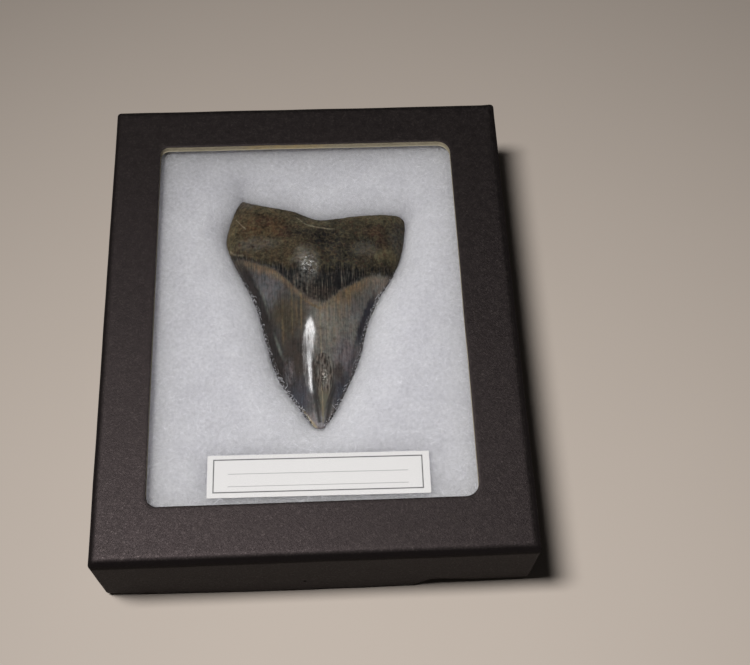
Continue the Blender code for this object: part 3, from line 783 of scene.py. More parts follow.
    # Root: patches, net of fine cracks, pits and its olive rim
    root = g.mix(g.fade(x + broad * 5.0, -8.0, 7.0), settings.root,
                 [c * s for c, s in zip(settings.root, (0.66, 0.74, 0.82))])
    root = tinted(root, ROOT_PATCHES)
    rim_mask = g.fade(rim + wander * 1.0, 3.4, 0.6) * 0.6
    root = g.mix(rim_mask, root, TINTS["olive"])
    net = g.node("ShaderNodeTexVoronoi", {"Vector": ragged, "Scale": 0.55}, feature="DISTANCE_TO_EDGE")
    root = g.mix(g.fade(net[0], 0.16, 0.02) * 0.35, root, TINTS["olive"])
    pits = g.fade(g.cells(g.shifted(place, 1.0, 0.8), 0.62), 0.34, 0.1)
    root = g.mix(pits * 0.6, root, TINTS["red"])
    root = g.mix(g.ridge(crack, 0.0, 0.5) * 0.6, root, TINTS["cream"])
    shade = 0.98 + grit * 0.62 + broad * 0.75
    root = g.shaded(root, shade)

    # Flaked strip above the tip
    flake_mask = g.fade(flake + wander * 0.5, -0.2, 0.4)
    flake_grain = g.noise(g.stretched(place, (2.2, 0.4, 1.0)), 1.0, 4.0, 0.65)
    flake_colour = g.mix(g.fade(flake_grain, 0.38, 0.62), (0.032, 0.026, 0.022), (0.17, 0.15, 0.13))
    flake_colour = g.mix(g.fade(y, 12.5, 9.5), flake_colour, (0.125, 0.113, 0.083))
    # Painted glints: pale specks on the flaked enamel.
    flake_glints = g.fade(g.noise(place, 1.5, 3.0, 0.6), 0.53, 0.62) * g.patch(place, 1.7, 15.0, 1.4, 3.6)
    flake_colour = g.mix(flake_glints, flake_colour, (0.42, 0.39, 0.35))
    middle_line = g.ridge(x + wander * 0.5, 1.0, 0.3) * g.fade(y, 14.0, 11.0)
    flake_colour = g.mix(middle_line * 0.8, flake_colour, TINTS["cream"])
    outline = g.ridge(flake + wander * 0.4, -0.1, 0.5) * g.fade(y, 4.0, 9.0)
    outline = outline * g.fade(y, 21.0, 18.0)
    beside = g.ridge(flake, -0.8, 1.0) * g.fade(y, 16.0, 11.0)
    enamel = g.mix(beside * 0.85, enamel, TINTS["dark"])
    enamel = g.mix(flake_mask, enamel, flake_colour)
    enamel = g.mix(outline * 0.75, enamel, TINTS["umber"])

    # All of them together, with a slight cast and white lint along the edges
    colour = g.mix(band_mask, enamel, band)
    colour = g.mix(root_mask, colour, root)
    tone = g.mix(cast["Mask"], (1.05, 0.98, 0.95), (0.96, 1.02, 1.02))
    colour = g.shaded(colour, tone)
    lint = g.fade(g.noise(place, 3.2, 2.0, 0.6), 0.56, 0.66) * g.fade(y, 58.0, 50.0)
    lint = lint * g.fade(edge + wander * 0.4, 1.1, 0.2)
    lint = lint * lint_share(g, on_right, y)
    colour = g.mix(lint * 0.65, colour, LINT)

    # Gloss: polish down the blade, glints on the worn swelling, and matt root, tip and edges
    bulge = g.patch(place, BULGE_X, BULGE_Y, 5.0, 7.5)
    glints = bulge * g.fade(g.noise(place, 1.6, 1.0), 0.45, 0.53)
    polish = g.patch(g.shifted(place, 1.1, 1.3), -1.9, 20.9, 3.5, 16.5)
    polish = g.fade(polish * g.fade(strand, 0.26, 0.42), 0.22, 0.62)
    fringe_mask = g.fade(above_enamel, -5.0, -1.5)
    dull = g.most(g.most(tip_mask, flake_mask), g.most(fringe_mask * 0.8, edge_mask * 0.35))
    bare = 1.0 - root_mask
    matt = g.most(dull * (1.0 - band_mask * 0.85), root_mask)
    matt = g.most(matt, g.ridge(above_root, -0.4, 2.0))
    matt = matt * (1.0 - glints)
    shine = polish * 0.56 + glints * 0.54
    rough = 0.75 + matt * 0.2 - shine

    # Fine relief
    pores = g.fade(g.cells(place, 0.9), 0.0, 0.32)
    root_height = grit * 0.1 + (pores * 0.06 + broad * 0.06)
    band_height = (lines + hair) * 0.06
    enamel_height = hair * 0.014 + strand * 0.02
    enamel_height = enamel_height + flake_mask * flake_grain * 0.12
    height = enamel_height * (1.0 - band_mask) + band_height * (band_mask * bare)
    height = height + root_height * root_mask
    lean = (x + -BULGE_X) * 0.16 + (y + -BULGE_Y) * 0.15
    sparkle = (g.noise(place, 1.5, 1.0, 0.6) * 0.15 + lean) * bulge
    height = height * (1.0 - bulge * 0.85) + sparkle
    g.fill(shader, Base_Color=colour, Roughness=rough, Normal=g.bump(height, 1.0 * MM))
    return mat


def new_object(name, mesh, *materials):
    """A scene object of a finished mesh, at the origin."""
    for mat in materials:
        mesh.materials.append(mat)
    obj = bpy.data.objects.new(name, mesh)
    bpy.context.scene.collection.objects.link(obj)
    return obj


def plain_mesh(name, verts, edges, faces, **fields):
    """A mesh of the given points; each field holds a value for every point."""
    mesh = bpy.data.meshes.new(name)
    mesh.from_pydata([tuple(p) for p in verts], edges, faces)
    for field, values in fields.items():
        layer = mesh.attributes.new(field, "FLOAT", "POINT")
        layer.data.foreach_set("value", np.array(values, np.float32))
    return mesh


def grid_faces(columns, rows, first=0):
    """Faces of a grid of points that are numbered row by row."""
    wide = columns + 1
    corners = [first + j * wide + i for j in range(rows) for i in range(columns)]
    return [(a, a + 1, a + wide + 1, a + wide) for a in corners]


def grid_rim(columns, rows):
    """The points round a grid, anticlockwise from its first one."""
    wide = columns + 1
    front = list(range(columns))
    right = [j * wide + columns for j in range(rows)]
    back = [rows * wide + i for i in range(columns, 0, -1)]
    left = [j * wide for j in range(rows, 0, -1)]
    return front + right + back + left


def shade(mesh, angle):
    mesh.shade_smooth()
    mesh.set_sharp_from_angle(angle=math.radians(angle))


def finished(obj, slot, *nodes):
    """Fix a finished piece to the box's body, and hide the solids that it stands for; the slot is not used.
    """
    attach(obj, BODY)
    if nodes:
        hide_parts(*nodes)
    return obj


def smoothstep(low, high, value):
    t = np.clip((np.asarray(value, float) - low) / (high - low), 0.0, 1.0)
    return t * t * (3.0 - 2.0 * t)


def roughness_at(x, y, z, size, octaves=3):
    """Smooth random height, from about -1 to 1, for features of a size."""
    return noise.fractal(Vector((x, y, z)) / size, 0.8, 2.0, octaves)


def rounded_ring(half_w, half_l, corner, z, center=(0.0, 0.0), run=52, arc=9):
    """Points round a rectangle with round corners, anticlockwise from its right side.

    The corner radius is one value, or four in the same order.
    """
    bends = []
    signs = ((1, 1), (-1, 1), (-1, -1), (1, -1))
    for k, (radius, (sx, sy)) in enumerate(zip(np.broadcast_to(corner, 4), signs)):
        middle = np.array((center[0] + sx * (half_w - radius), center[1] + sy * (half_l - radius)))
        turns = math.pi / 2 * (k + np.arange(arc) / (arc - 1))
        bends.append(middle + radius * np.stack((np.cos(turns), np.sin(turns)), 1))
    steps = np.arange(1, run)[:, None] / run
    points = []
    for bend, after in zip(bends, bends[1:] + bends[:1]):
        points += [bend, bend[-1] + (after[0] - bend[-1]) * steps]
    plan = np.concatenate(points)
    return np.column_stack((plan, np.full(len(plan), z)))


def between(first, last, steps):
    """Rings from after the first to the last one, in even steps."""
    return [first + (last - first) * k / steps for k in range(1, steps + 1)]


def loft(rings, closed):
    """A bmesh through rings of equal length; the ends are capped unless the rings close on themselves."""
    bm = bmesh.new()
    loops = [[bm.verts.new(p) for p in ring] for ring in rings]
    pairs = list(zip(loops, loops[1:]))
    if closed:
        pairs.append((loops[-1], loops[0]))
    for lower, upper in pairs:
        count = len(lower)
        for i in range(count):
            j = (i + 1) % count
            bm.faces.new((lower[i], lower[j], upper[j], upper[i]))
    if not closed:
        bm.faces.new(loops[0])
        bm.faces.new(loops[-1])
    bmesh.ops.recalc_face_normals(bm, faces=bm.faces)
    return bm


def bow_foot(ring):
    """Bow the long walls outwards towards their foot, and lift the front edge near its right end."""
    half_w, half_l = BOX_W / 2, BOX_L / 2
    down = np.clip((LID_UNDER - ring[:, 2]) / (LID_UNDER - LID_LOW.z), 0.0, 1.0)
    share = down ** 2
    across = np.clip(1.0 - (ring[:, 0] / (half_w - WALL)) ** 2, 0.0, 1.0)
    rise = smoothstep(LIFT_START, LIFT_PEAK, ring[:, 0])
    fall = smoothstep(LIFT_PEAK, LIFT_PEAK + LIFT_FALL, ring[:, 0])
    front = ring[:, 1] < 0
    lift = rise * (LIFT_HEIGHT + (LIFT_AFTER - LIFT_HEIGHT) * fall) * down ** 6 * front
    out = LID_BOW * share * across * (1.0 - 0.9 * np.minimum(1.0, lift / LIFT_AFTER))
    corner = np.hypot(ring[:, 0] + half_w, ring[:, 1] + half_l)
    worn = WORN_FOOT * np.exp(-(corner / WORN_REACH) ** 2) * down ** 12
    long_wall = np.abs(ring[:, 1]) > half_l - 3 * WALL
    bowed = ring.copy()
    bowed[:, 1] += np.where(long_wall, np.sign(ring[:, 1]) * out, 0.0)
    bowed[:, 2] += np.where(long_wall, lift, 0.0) + worn
    return bowed


def quarter_turn(steps):
    """A quarter circle in steps, as how far it has come one way and how far it has left the other."""
    angles = [math.pi / 2 * k / steps for k in range(1, steps + 1)]
    return [(1.0 - math.cos(a), 1.0 - math.sin(a)) for a in angles]


def lid_rings():
    """Rings of the lid's section, from the inner foot over the window and the roll to the outer foot."""
    half_w, half_l = BOX_W / 2, BOX_L / 2
    side = WINDOW_BORDER
    window_w = (BOX_W - side["left"] - side["right"]) / 2
    window_l = (BOX_L - side["back"] - side["front"]) / 2
    center = ((side["left"] - side["right"]) / 2, (side["front"] - side["back"]) / 2)

    def window(grow, z, lean=0.0):
        middle = (center[0], center[1] - lean / 2)
        return rounded_ring(window_w + grow, window_l + grow - lean / 2, WINDOW_CORNERS + grow, z, middle)

    def outer(inset, z):
        return rounded_ring(half_w - inset, half_l - inset, CORNER, z)

    foot = LID_LOW.z
    inner_foot = rounded_ring(half_w - WALL, half_l - WALL, INNER_CORNER, foot)
    inner_top = rounded_ring(half_w - WALL, half_l - WALL, INNER_CORNER, LID_UNDER)
    rings = [inner_foot] + between(inner_foot, inner_top, INNER_RINGS)
    rings += between(rings[-1], window(0.0, LID_UNDER, WINDOW_LEAN), UNDER_RINGS)
    rings += between(rings[-1], window(0.0, BOX_H - WINDOW_EASE), CUT_RINGS)
    rings += [window(WINDOW_EASE * grow, BOX_H - WINDOW_EASE * drop)
              for grow, drop in quarter_turn(EASE_RINGS)]
    rings += between(rings[-1], outer(ROLL, BOX_H), FACE_RINGS)
    top_end = len(rings)
    rings += [outer(ROLL * inset, BOX_H - ROLL * drop) for drop, inset in quarter_turn(ROLL_RINGS)]
    rings += between(rings[-1], outer(0.0, foot + 0.5 * MM), OUTER_RINGS)
    rings += [outer(0.15 * MM, foot + 0.15 * MM), outer(0.4 * MM, foot)]
    corner = np.array((half_w, half_l, BOX_H))
    for ring in rings[top_end - 3:]:
        away = np.linalg.norm(ring - corner, axis=1)
        ring[:, 2] += EAR_HEIGHT * np.exp(-(away / EAR_REACH) ** 2)
    return [bow_foot(ring) for ring in rings]


def roughen_paper(bm, wave):
    """Let the covering swell and sink inwards a little, less where it lies flat."""
    bm.normal_update()
    moves = []
    for vert in bm.verts:
        p = vert.co / MM
        broad = 0.5 + 0.5 * roughness_at(p.x, p.y, p.z, 16.0, 2)
        fine = 0.5 + 0.5 * roughness_at(p.x, p.y, p.z, 2.5, 2)
        flat = smoothstep(0.6, 0.95, abs(vert.normal.z))
        amount = wave * ((1.0 - 0.7 * flat) * broad + 0.12 * fine)
        moves.append((vert, -vert.normal * float(amount)))
    for vert, move in moves:
        if vert.co.z > LID_UNDER + 0.3 * MM or vert.normal.z < 0.5:
            vert.co += move


def cut_pin_hole(lid):
    """A pin hole through the front wall, cut with a cone that is wider outside."""
    bm = bmesh.new()
    bmesh.ops.create_cone(bm, cap_ends=True, segments=16, radius1=PIN_RADIUS * 0.7,
                          radius2=PIN_RADIUS * 1.5, depth=8 * MM)
    mesh = bpy.data.meshes.new("pin_cutter")
    bm.to_mesh(mesh)
    bm.free()
    cutter = new_object("pin_cutter", mesh)
    cutter.location = (PIN_PLACE[0], -BOX_L / 2, PIN_PLACE[1])
    cutter.rotation_euler = (math.pi / 2, 0.0, 0.0)
    cut = lid.modifiers.new("pin hole", "BOOLEAN")
    cut.object = cutter
    made_plain(lid)
    bpy.data.objects.remove(cutter)


def made_plain(obj):
    """Replace an object's mesh by its evaluated one, and take its modifiers off."""
    depsgraph = bpy.context.evaluated_depsgraph_get()
    mesh = bpy.data.meshes.new_from_object(obj.evaluated_get(depsgraph))
    obj.modifiers.clear()
    obj.data = mesh
    return obj


def build_lid(settings):
    rings = lid_rings()
    bm = loft(rings, closed=True)
    per_ring = len(rings[0])
    bm.faces.ensure_lookup_table()
    last_bare = INNER_RINGS + UNDER_RINGS + CUT_RINGS
    for face in bm.faces[INNER_RINGS * per_ring:last_bare * per_ring]:
        face.material_index = 1
    roughen_paper(bm, settings.wave)
    mesh = bpy.data.meshes.new("lid_shell")
    bm.to_mesh(mesh)
    bm.free()
    lid = new_object("lid_shell", mesh, paper_material("lid paper", settings), board_material(settings))
    cut_pin_hole(lid)
    shade(lid.data, 40)
    return finished(lid, "lid_paper", "lid")


def curve_point(points, t):
    """A point on the smooth curve through the given points, with t from 0 to 1."""
    spans = len(points) - 1
    k = min(int(t * spans), spans - 1)
    f = t * spans - k
    p1 = Vector(points[k])
    p2 = Vector(points[k + 1])
    p0 = Vector(points[k - 1]) if k > 0 else 2 * p1 - p2
    p3 = Vector(points[k + 2]) if k + 2 <= spans else 2 * p2 - p1
    return 0.5 * (2 * p1 + (p2 - p0) * f + (2 * p0 - 5 * p1 + 4 * p2 - p3) * f ** 2
                  + (3 * p1 - p0 - 3 * p2 + p3) * f ** 3)


def smooth_line(points):
    """A function that gives the height of the smooth line through the points at a place along it."""
    samples = [curve_point(points, k / LINE_STEPS) for k in range(LINE_STEPS + 1)]
    xs = np.array([p.x for p in samples])
    ys = np.array([p.y for p in samples])
    return lambda x: float(np.interp(x, xs, ys))


def profile_height(heights, distance):
    """Height at a distance from the tip, on the smooth curve through evenly spaced heights."""
    points = [(i, h) for i, h in enumerate(heights)]
    return curve_point(points, min(max(distance / TOOTH_LENGTH, 0.0), 1.0)).y


def outline_point(u, v):
    """A point of the tooth's plan: u across from left to right, v along from tip to root end."""
    left = curve_point(LEFT_SIDE, v)
    right = curve_point(RIGHT_SIDE, v)
    root = curve_point(ROOT_END, u)
    tip_left = Vector(LEFT_SIDE[0])
    tip_right = Vector(RIGHT_SIDE[0])
    tip = tip_left.lerp(tip_right, u)
    tip.y -= TIP_DEPTH * 4 * u * (1 - u)
    root_chord = Vector(LEFT_SIDE[-1]).lerp(Vector(RIGHT_SIDE[-1]), u)
    corners = tip_left.lerp(tip_right, u).lerp(root_chord, v)
    return left.lerp(right, u) + tip.lerp(root, v) - corners


def forms(table, x, y):
    """Sum of the soft swellings and hollows at a place on a face."""
    return sum(h * math.exp(-((x - cx) / wx) ** 2 - ((y - cy) / wy) ** 2)
               for cx, cy, wx, wy, h in table)


def face_shares(u, v, y):
    """How much of the full height a place keeps, on the rounded face and on the flat face."""
    s = abs(2 * u - 1)
    root = float(smoothstep(CROWN_END, ROOT_START, y))
    blade = (1 - s * s) * (1 - EDGE_THINNING * s * s)
    lobe = math.sqrt(max(0.0, 1 - s ** ROOT_ROUND))
    flat = math.sqrt(max(0.0, 1 - s ** 6))
    rim = math.sqrt(max(0.0, 1 - max(0.0, 1 - (1 - v) / RIM_WIDTH) ** 2))
    front = (blade + (lobe - blade) * root) * rim
    back = ((1 - s ** 4) * (1 - root) + flat * root) * rim
    return front, back


def eased(i, count, ends=0.7):
    """Even steps from 0 to 1, drawn closer together at both ends."""
    t = i / count
    return (1 - ends) * t + ends * (1 - math.cos(math.pi * t)) / 2


class ToothLines:
    """The lines and fields over the tooth that its relief and its finish both follow."""

    def __init__(self):
        self.root_line = smooth_line(ROOT_LINE)
        self.enamel_line = smooth_line(ENAMEL_LINE)
        self.flake_middle = smooth_line(FLAKE_MIDDLE)
        self.flake_half = smooth_line(FLAKE_HALF)
        self.cracks = [(*limits, smooth_line(line)) for *limits, line in CRACKS]
        self.creases = [(*limits, smooth_line(line)) for *limits, line in CREASES]

    def crack(self, x, y):
        """Height above the nearest pale crack of the root, or far away where there is none."""
        for first, last, low, line in self.cracks:
            if first <= x <= last and y > low:
                return y - line(x)
        return FAR

    def crease(self, x, y):
        """Distance across to the crease on this side of the blade, or far away above and below it."""
        low, high, line = self.creases[0 if x < 0 else 1]
        return x - line(y) if low < y < high else FAR

    def flake(self, x, y):
        """How far inside the flaked strip a place is."""
        low, high = FLAKE_HALF[0][0], FLAKE_HALF[-1][0]
        half = self.flake_half(y) if low < y < high else -abs(y - FLAKE_CENTER)
        return half - abs(x - self.flake_middle(y))

    def fields(self, x, y, u, v, on_front):
        """Values of every field at a place, in the order of TOOTH_FIELDS."""
        width = abs(curve_point(RIGHT_SIDE, v).x - curve_point(LEFT_SIDE, v).x)
        edge = min(u, 1 - u) * width
        rim = (1 - v) * TOOTH_LENGTH
        if on_front:
            return (y - self.root_line(x), y - self.enamel_line(x), edge, rim,
                    self.crease(x, y), self.flake(x, y), self.crack(x, y))
        back_line = BACK_LINE_HEIGHT + BACK_LINE_RISE * math.exp(-(x / 12.0) ** 2)
        return y - back_line, y - back_line, edge, rim, FAR, -FAR, FAR


def front_relief(x, y, fields):
    """Fine relief of the rounded face in millimetres: root edge, band, creases, flake and pits."""
    above_root, above_enamel, edge, rim, crease, flake, crack = fields
    root = float(smoothstep(-0.7, 0.9, above_root + 0.4 * roughness_at(x, y, 0.0, 1.6)))
    band = float(smoothstep(-0.5, 0.9, above_enamel)) * (1 - root)
    relief = 0.15 * root - 0.08 * band
    worn = math.exp(-((x - BULGE_X) / 3.0) ** 2 - ((y - BULGE_Y) / 4.4) ** 2)
    pitted = 0.2 * roughness_at(x, y, 3.0, 3.0, 4) + 0.1 * roughness_at(x, y, 7.0, 0.9, 2)
    relief += root * pitted * (1 - 0.7 * worn)
    relief += band * 0.09 * roughness_at(x * 1.6, y * 0.12, 1.0, 1.0, 2)
    relief += worn * 0.07 * roughness_at(x, y, 21.0, 1.1, 2)
    enamel = (1 - root) * (1 - band)
    relief += enamel * (0.03 * roughness_at(x * 0.35, y * 0.07, 5.0, 1.0, 2)
                        + 0.012 * roughness_at(x, y * 0.3, 9.0, 0.9, 2))
    relief -= 0.07 * enamel * math.exp(-(crease / 0.8) ** 2)
    relief += 0.1 * math.exp(-(crack / 0.35) ** 2) * root
    if crack < FAR - 1:
        scoop = math.exp(-((x - 0.4) / 5.0) ** 2) * float(smoothstep(-0.2, 1.6, crack))
        relief -= 0.45 * scoop * root
    inside = float(smoothstep(-0.1, 0.5, flake))
    relief -= inside * (0.16 + 0.1 * roughness_at(x * 1.2, y * 0.3, 2.0, 1.0, 2))
    for px, py, radius in PITS:
        relief -= 0.4 * radius * math.exp(-((x - px) ** 2 + (y - py) ** 2) / radius ** 2) * root
    return relief * float(smoothstep(0.0, 1.4, min(edge, rim * 0.6)))


def back_relief(x, y, fields):
    """Fine relief of the flat face: a porous root over smooth enamel."""
    above_root, _, edge, rim = fields[:4]
    root = float(smoothstep(-0.3, 0.5, above_root + 0.4 * roughness_at(x, y, 20.0, 2.0)))
    relief = 0.25 * root * (0.6 + roughness_at(x, y, 13.0, 2.6, 4))
    relief += (1 - root) * 0.08 * roughness_at(x * 0.5, y * 0.08, 15.0, 1.0, 2)
    return relief * float(smoothstep(0.0, 1.4, min(edge, rim * 0.6)))


def build_tooth(settings):
    columns, rows = TOOTH_GRID
    lines = ToothLines()
    front, back = [], []
    for j in range(rows + 1):
        v = eased(j, rows, 0.25)
        for i in range(columns + 1):
            u = eased(i, columns)
            plan = outline_point(u, v)
            x, y = plan
            front_share, back_share = face_shares(u, v, y)
            on_front = lines.fields(x, y, u, v, True)
            on_back = lines.fields(x, y, u, v, False)
            high = (profile_height(CREST, y) + forms(FACE_FORMS, x, y)) * front_share
            deep = (profile_height(BELLY, y) + forms(BACK_FORMS, x, y)) * back_share
            high += front_relief(x, y, on_front)
            deep += back_relief(x, y, on_back)
            inside = 0 < i < columns and 0 < j < rows
            front.append((x, y, high if inside else 0.0, on_front))
            back.append((x, y, -deep, on_back) if inside else None)
    tip = np.array(TOOTH_TIP)
    verts = [tip + np.array(p[:3]) * MM for p in front]
    fields = [p[3] for p in front]
    back_index = []
    for k, p in enumerate(back):
        if p is None:
            back_index.append(k)
            continue
        back_index.append(len(verts))
        verts.append(tip + np.array(p[:3]) * MM)
        fields.append(p[3])
    faces = []
    for ring in grid_faces(columns, rows):
        faces += [ring, tuple(back_index[k] for k in reversed(ring))]
    mesh = plain_mesh("tooth_surface", verts, [], faces, **dict(zip(TOOTH_FIELDS, zip(*fields))))
    mesh.shade_smooth()
    tooth = new_object("tooth_surface", mesh, tooth_material(settings))
    return finished(tooth, "fossil", "tooth")


def outline_plan():
    """The tooth's outline in metres in the box's frame, from the left side's foot round to the right's."""
    steps = OUTLINE_STEPS
    left = [outline_point(0.0, k / steps) for k in range(steps + 1)]
    root = [outline_point(k / steps, 1.0) for k in range(1, steps)]
    right = [outline_point(1.0, k / steps) for k in range(steps, -1, -1)]
    tip = [outline_point(1 - k / TIP_STEPS, 0.0) for k in range(1, TIP_STEPS)]
    plan = np.array([(p.x, p.y) for p in left + root + right + tip]) * MM
    return plan + np.array(TOOTH_TIP)[:2]


def signed_distance(points, outline):
    """Distance from points to a closed outline, negative inside it."""
    best = np.full(len(points), np.inf)
    crossings = np.zeros(len(points), int)
    for a, b in zip(outline, np.roll(outline, -1, axis=0)):
        ab = b - a
        t = np.clip(((points - a) @ ab) / max(ab @ ab, 1e-18), 0.0, 1.0)
        away = np.linalg.norm(points - (a + t[:, None] * ab), axis=1)
        best = np.minimum(best, away)
        if a[1] != b[1]:
            spans = (points[:, 1] >= min(a[1], b[1])) & (points[:, 1] < max(a[1], b[1]))
            meet = a[0] + (points[:, 1] - a[1]) / (b[1] - a[1]) * ab[0]
            crossings += spans & (meet > points[:, 0])
    return np.where(crossings % 2 == 1, -best, best)


def batting_height(x, y, away, settings):
    """Height of the batting: pressed flat under the pane, sunk round the tooth and under the lid's rim."""
    past_x = np.abs(x - BED_PLACE[0]) - BED_HALF[0]
    past_y = np.abs(y - BED_PLACE[1]) - BED_HALF[1]
    in_bed = smoothstep(*BED_BANK, np.maximum(past_x, past_y))
    top = BATTING_TOP - (BATTING_TOP - LABEL_LOW.z + 0.1 * MM) * in_bed
    at_root = smoothstep(*ROOT_RISE, y / MM)
    rise = ROOT_RISE_HEIGHT * at_root + END_RISE_HEIGHT * smoothstep(*END_RISE, y / MM)
    beside = TOOTH_TIP.z + (rise - 0.1) * MM
    reach = settings.reach * (1.0 - 0.35 * at_root)
    t = np.clip(away / reach, 0.0, 1.0)
    height = top - (top - beside) * (1.0 - t) ** 2.0
    under = np.clip((-away - POCKET_INSET) / POCKET_BANK, 0.0, 1.0)
    pocket = beside - POCKET_DEPTH * np.sqrt(1.0 - (1.0 - under) ** 2)
    height = np.where(away < -POCKET_INSET, pocket, height)
    wall = np.minimum(TRAY_HALF_W - np.abs(x), TRAY_HALF_L - np.abs(y))
    return height - PILLOW_DROP * (1.0 - np.clip(wall / PILLOW_REACH, 0.0, 1.0)) ** 2


def build_batting(settings):
    half_w = TRAY_HALF_W - BATTING_GAP
    half_l = TRAY_HALF_L - BATTING_GAP
    columns, rows = BATTING_GRID
    xs = np.linspace(-half_w, half_w, columns + 1)
    ys = np.linspace(-half_l, half_l, rows + 1)
    gx, gy = (a.ravel() for a in np.meshgrid(xs, ys))
    away = signed_distance(np.column_stack((gx, gy)), outline_plan())
    height = batting_height(gx, gy, away, settings)
    tufts = np.array([
        roughness_at(x, y, 0.0, 7.0, 2) * 0.8 + roughness_at(x, y, 5.0, 2.2, 3) * 0.45
        + roughness_at(x, y, 9.0, 0.8, 2) * 0.2 for x, y in zip(gx / MM, gy / MM)])
    loose = 0.3 + 0.7 * smoothstep(BATTING_TOP, BATTING_TOP - 2.5 * MM, height)
    height = height + settings.tuft * (tufts - 0.6) * loose
    verts = list(zip(gx, gy, height))
    faces = grid_faces(columns, rows)
    rim = grid_rim(columns, rows)
    foot = len(verts)
    verts += [(*verts[k][:2], WALL + BATTING_GAP) for k in rim]
    for k in range(len(rim)):
        n = (k + 1) % len(rim)
        faces.append((rim[n], rim[k], foot + k, foot + n))
    faces.append(tuple(range(foot + len(rim) - 1, foot - 1, -1)))
    side = WINDOW_BORDER
    seen_w = np.clip((BOX_W / 2 - side["left"] + 3 * MM - np.abs(gx)) / MM, 0.0, 1.0)
    seen_l = np.clip((BOX_L / 2 - side["back"] + 3 * MM - np.abs(gy)) / MM, 0.0, 1.0)
    in_view = np.zeros(len(verts))
    in_view[:len(gx)] = seen_w * seen_l * np.clip(away / MM - 0.7, 0.0, 1.0)
    mesh = plain_mesh("batting", verts, [], faces, in_view=in_view)
    shade(mesh, 60)
    batting = new_object("batting", mesh, batting_material(settings, "white batting", 0.07 * MM, 1.0))
    finished(batting, "batting", "fibre_pad")
    strand_finish = batting_material(settings, "white strand", 0.01 * MM, 0.0, 1.3)
    for name, seed, share, thick, long in STRAND_SETS:
        strands = new_object(name, mesh.copy())
        strands.data.materials.clear()
        scatter_strands(
            strands, strand_finish, Density=settings.density * share, Length=settings.strand * long,
            Radius=settings.thickness * thick, Curl=1.4 * MM, Tilt=0.1, Ceiling=PANE_LOW.z - 0.06 * MM,
            Seed=seed)
        finished(strands, "batting")
    return batting


class Nodes(Finish):
    """A geometry node tree, made with the same short ways as a finish."""

    def start(self, inputs):
        face = self.tree.interface
        face.new_socket("Geometry", in_out="INPUT", socket_type="NodeSocketGeometry")
        face.new_socket("Geometry", in_out="OUTPUT", socket_type="NodeSocketGeometry")
        for name, kind, default in inputs:
            socket = face.new_socket(name, in_out="INPUT", socket_type="NodeSocket" + kind)
            socket.default_value = default
        return self.node("NodeGroupInput")

    def finish(self, geometry, material):
        real = self.node("GeometryNodeRealizeInstances", {"Geometry": geometry})
        coated = self.node("GeometryNodeSetMaterial", {"Geometry": real[0], "Material": material})
        self.raw_node("NodeGroupOutput", {0: coated[0]})

    def random(self, low, high, seed, kind="FLOAT"):
        """A random value for each point; vector and float limits use their own sockets."""
        first = 0 if kind == "FLOAT_VECTOR" else 2
        limits = {first: low, first + 1: high, "Seed": seed}
        made = self.node("FunctionNodeRandomValue", limits, data_type=kind)
        return made[0 if kind == "FLOAT_VECTOR" else 1]


def strand_tree(material):
    """Loose curved strands scattered over a surface, each a thin three-sided thread."""
    g = Nodes(bpy.data.node_groups.new("loose strands", "GeometryNodeTree"))
    given = g.start((
        ("Density", "Float", 200000.0), ("Length", "Float", 5 * MM), ("Radius", "Float", 0.03 * MM),
        ("Curl", "Float", 1.0 * MM), ("Tilt", "Float", 0.2), ("Ceiling", "Float", 0.025),
        ("Seed", "Int", 0)))
    shown = g.node("GeometryNodeInputNamedAttribute", {"Name": "in_view"}, data_type="FLOAT")
    density = shown[0] * given["Density"]
    points = g.node("GeometryNodeDistributePointsOnFaces",
                    {"Mesh": given["Geometry"], "Density": density, "Seed": given["Seed"]})
    line = g.node("GeometryNodeCurvePrimitiveLine", {"Start": (-0.5, 0.0, 0.0), "End": (0.5, 0.0, 0.0)})
    strand = g.node("GeometryNodeResampleCurve", {"Curve": line[0], "Count": STRAND_POINTS})
    tilt = given["Tilt"]
    turn_high = g.node("ShaderNodeCombineXYZ", {0: tilt, 1: tilt, 2: math.tau})[0]
    turn_low = g.node("ShaderNodeCombineXYZ", {0: tilt * -1.0, 1: tilt * -1.0})[0]
    turn = g.random(turn_low, turn_high, 1, "FLOAT_VECTOR")
    size = given["Length"] * g.random(0.45, 1.3, 2)
    placed = g.node("GeometryNodeInstanceOnPoints", {
        "Points": points["Points"], "Instance": strand[0], "Rotation": turn, "Scale": size})
    real = g.node("GeometryNodeRealizeInstances", {"Geometry": placed[0]})
    spot = g.node("GeometryNodeInputPosition")[0]
    sway = g.node("ShaderNodeTexNoise", {"Vector": spot, "Scale": 320.0, "Detail": 1.0})["Color"]
    middle = g.vector("SUBTRACT", sway, (0.5, 0.5, 0.5))
    curl = g.scaled(g.stretched(middle, (2.0, 2.0, 0.35)), given["Curl"])
    bent = g.vector("ADD", spot, curl)
    x, y, z = g.split(bent)
    capped = g.node("ShaderNodeCombineXYZ", {0: x, 1: y, 2: g.math("MINIMUM", z, given["Ceiling"])})
    moved = g.node("GeometryNodeSetPosition", {"Geometry": real[0], "Position": capped[0]})
    ring = g.node("GeometryNodeCurvePrimitiveCircle", {"Resolution": 3, "Radius": given["Radius"]})
    thread = g.node("GeometryNodeCurveToMesh", {
        "Curve": moved[0], "Profile Curve": ring[0], "Fill Caps": True})
    g.finish(thread[0], material)
    return g.tree


def run_tree(obj, tree, **values):
    """Run a geometry node tree on an object with the given inputs, and keep the result as a plain mesh."""
    modifier = obj.modifiers.new(tree.name, "NODES")
    modifier.node_group = tree
    names = {item.name: item.identifier for item in tree.interface.items_tree if item.in_out == "INPUT"}
    for name, value in values.items():
        modifier[names[name]] = value
    return made_plain(obj)


def scatter_strands(obj, material, **values):
    run_tree(obj, strand_tree(material), **values)
    shade(obj.data, 80)


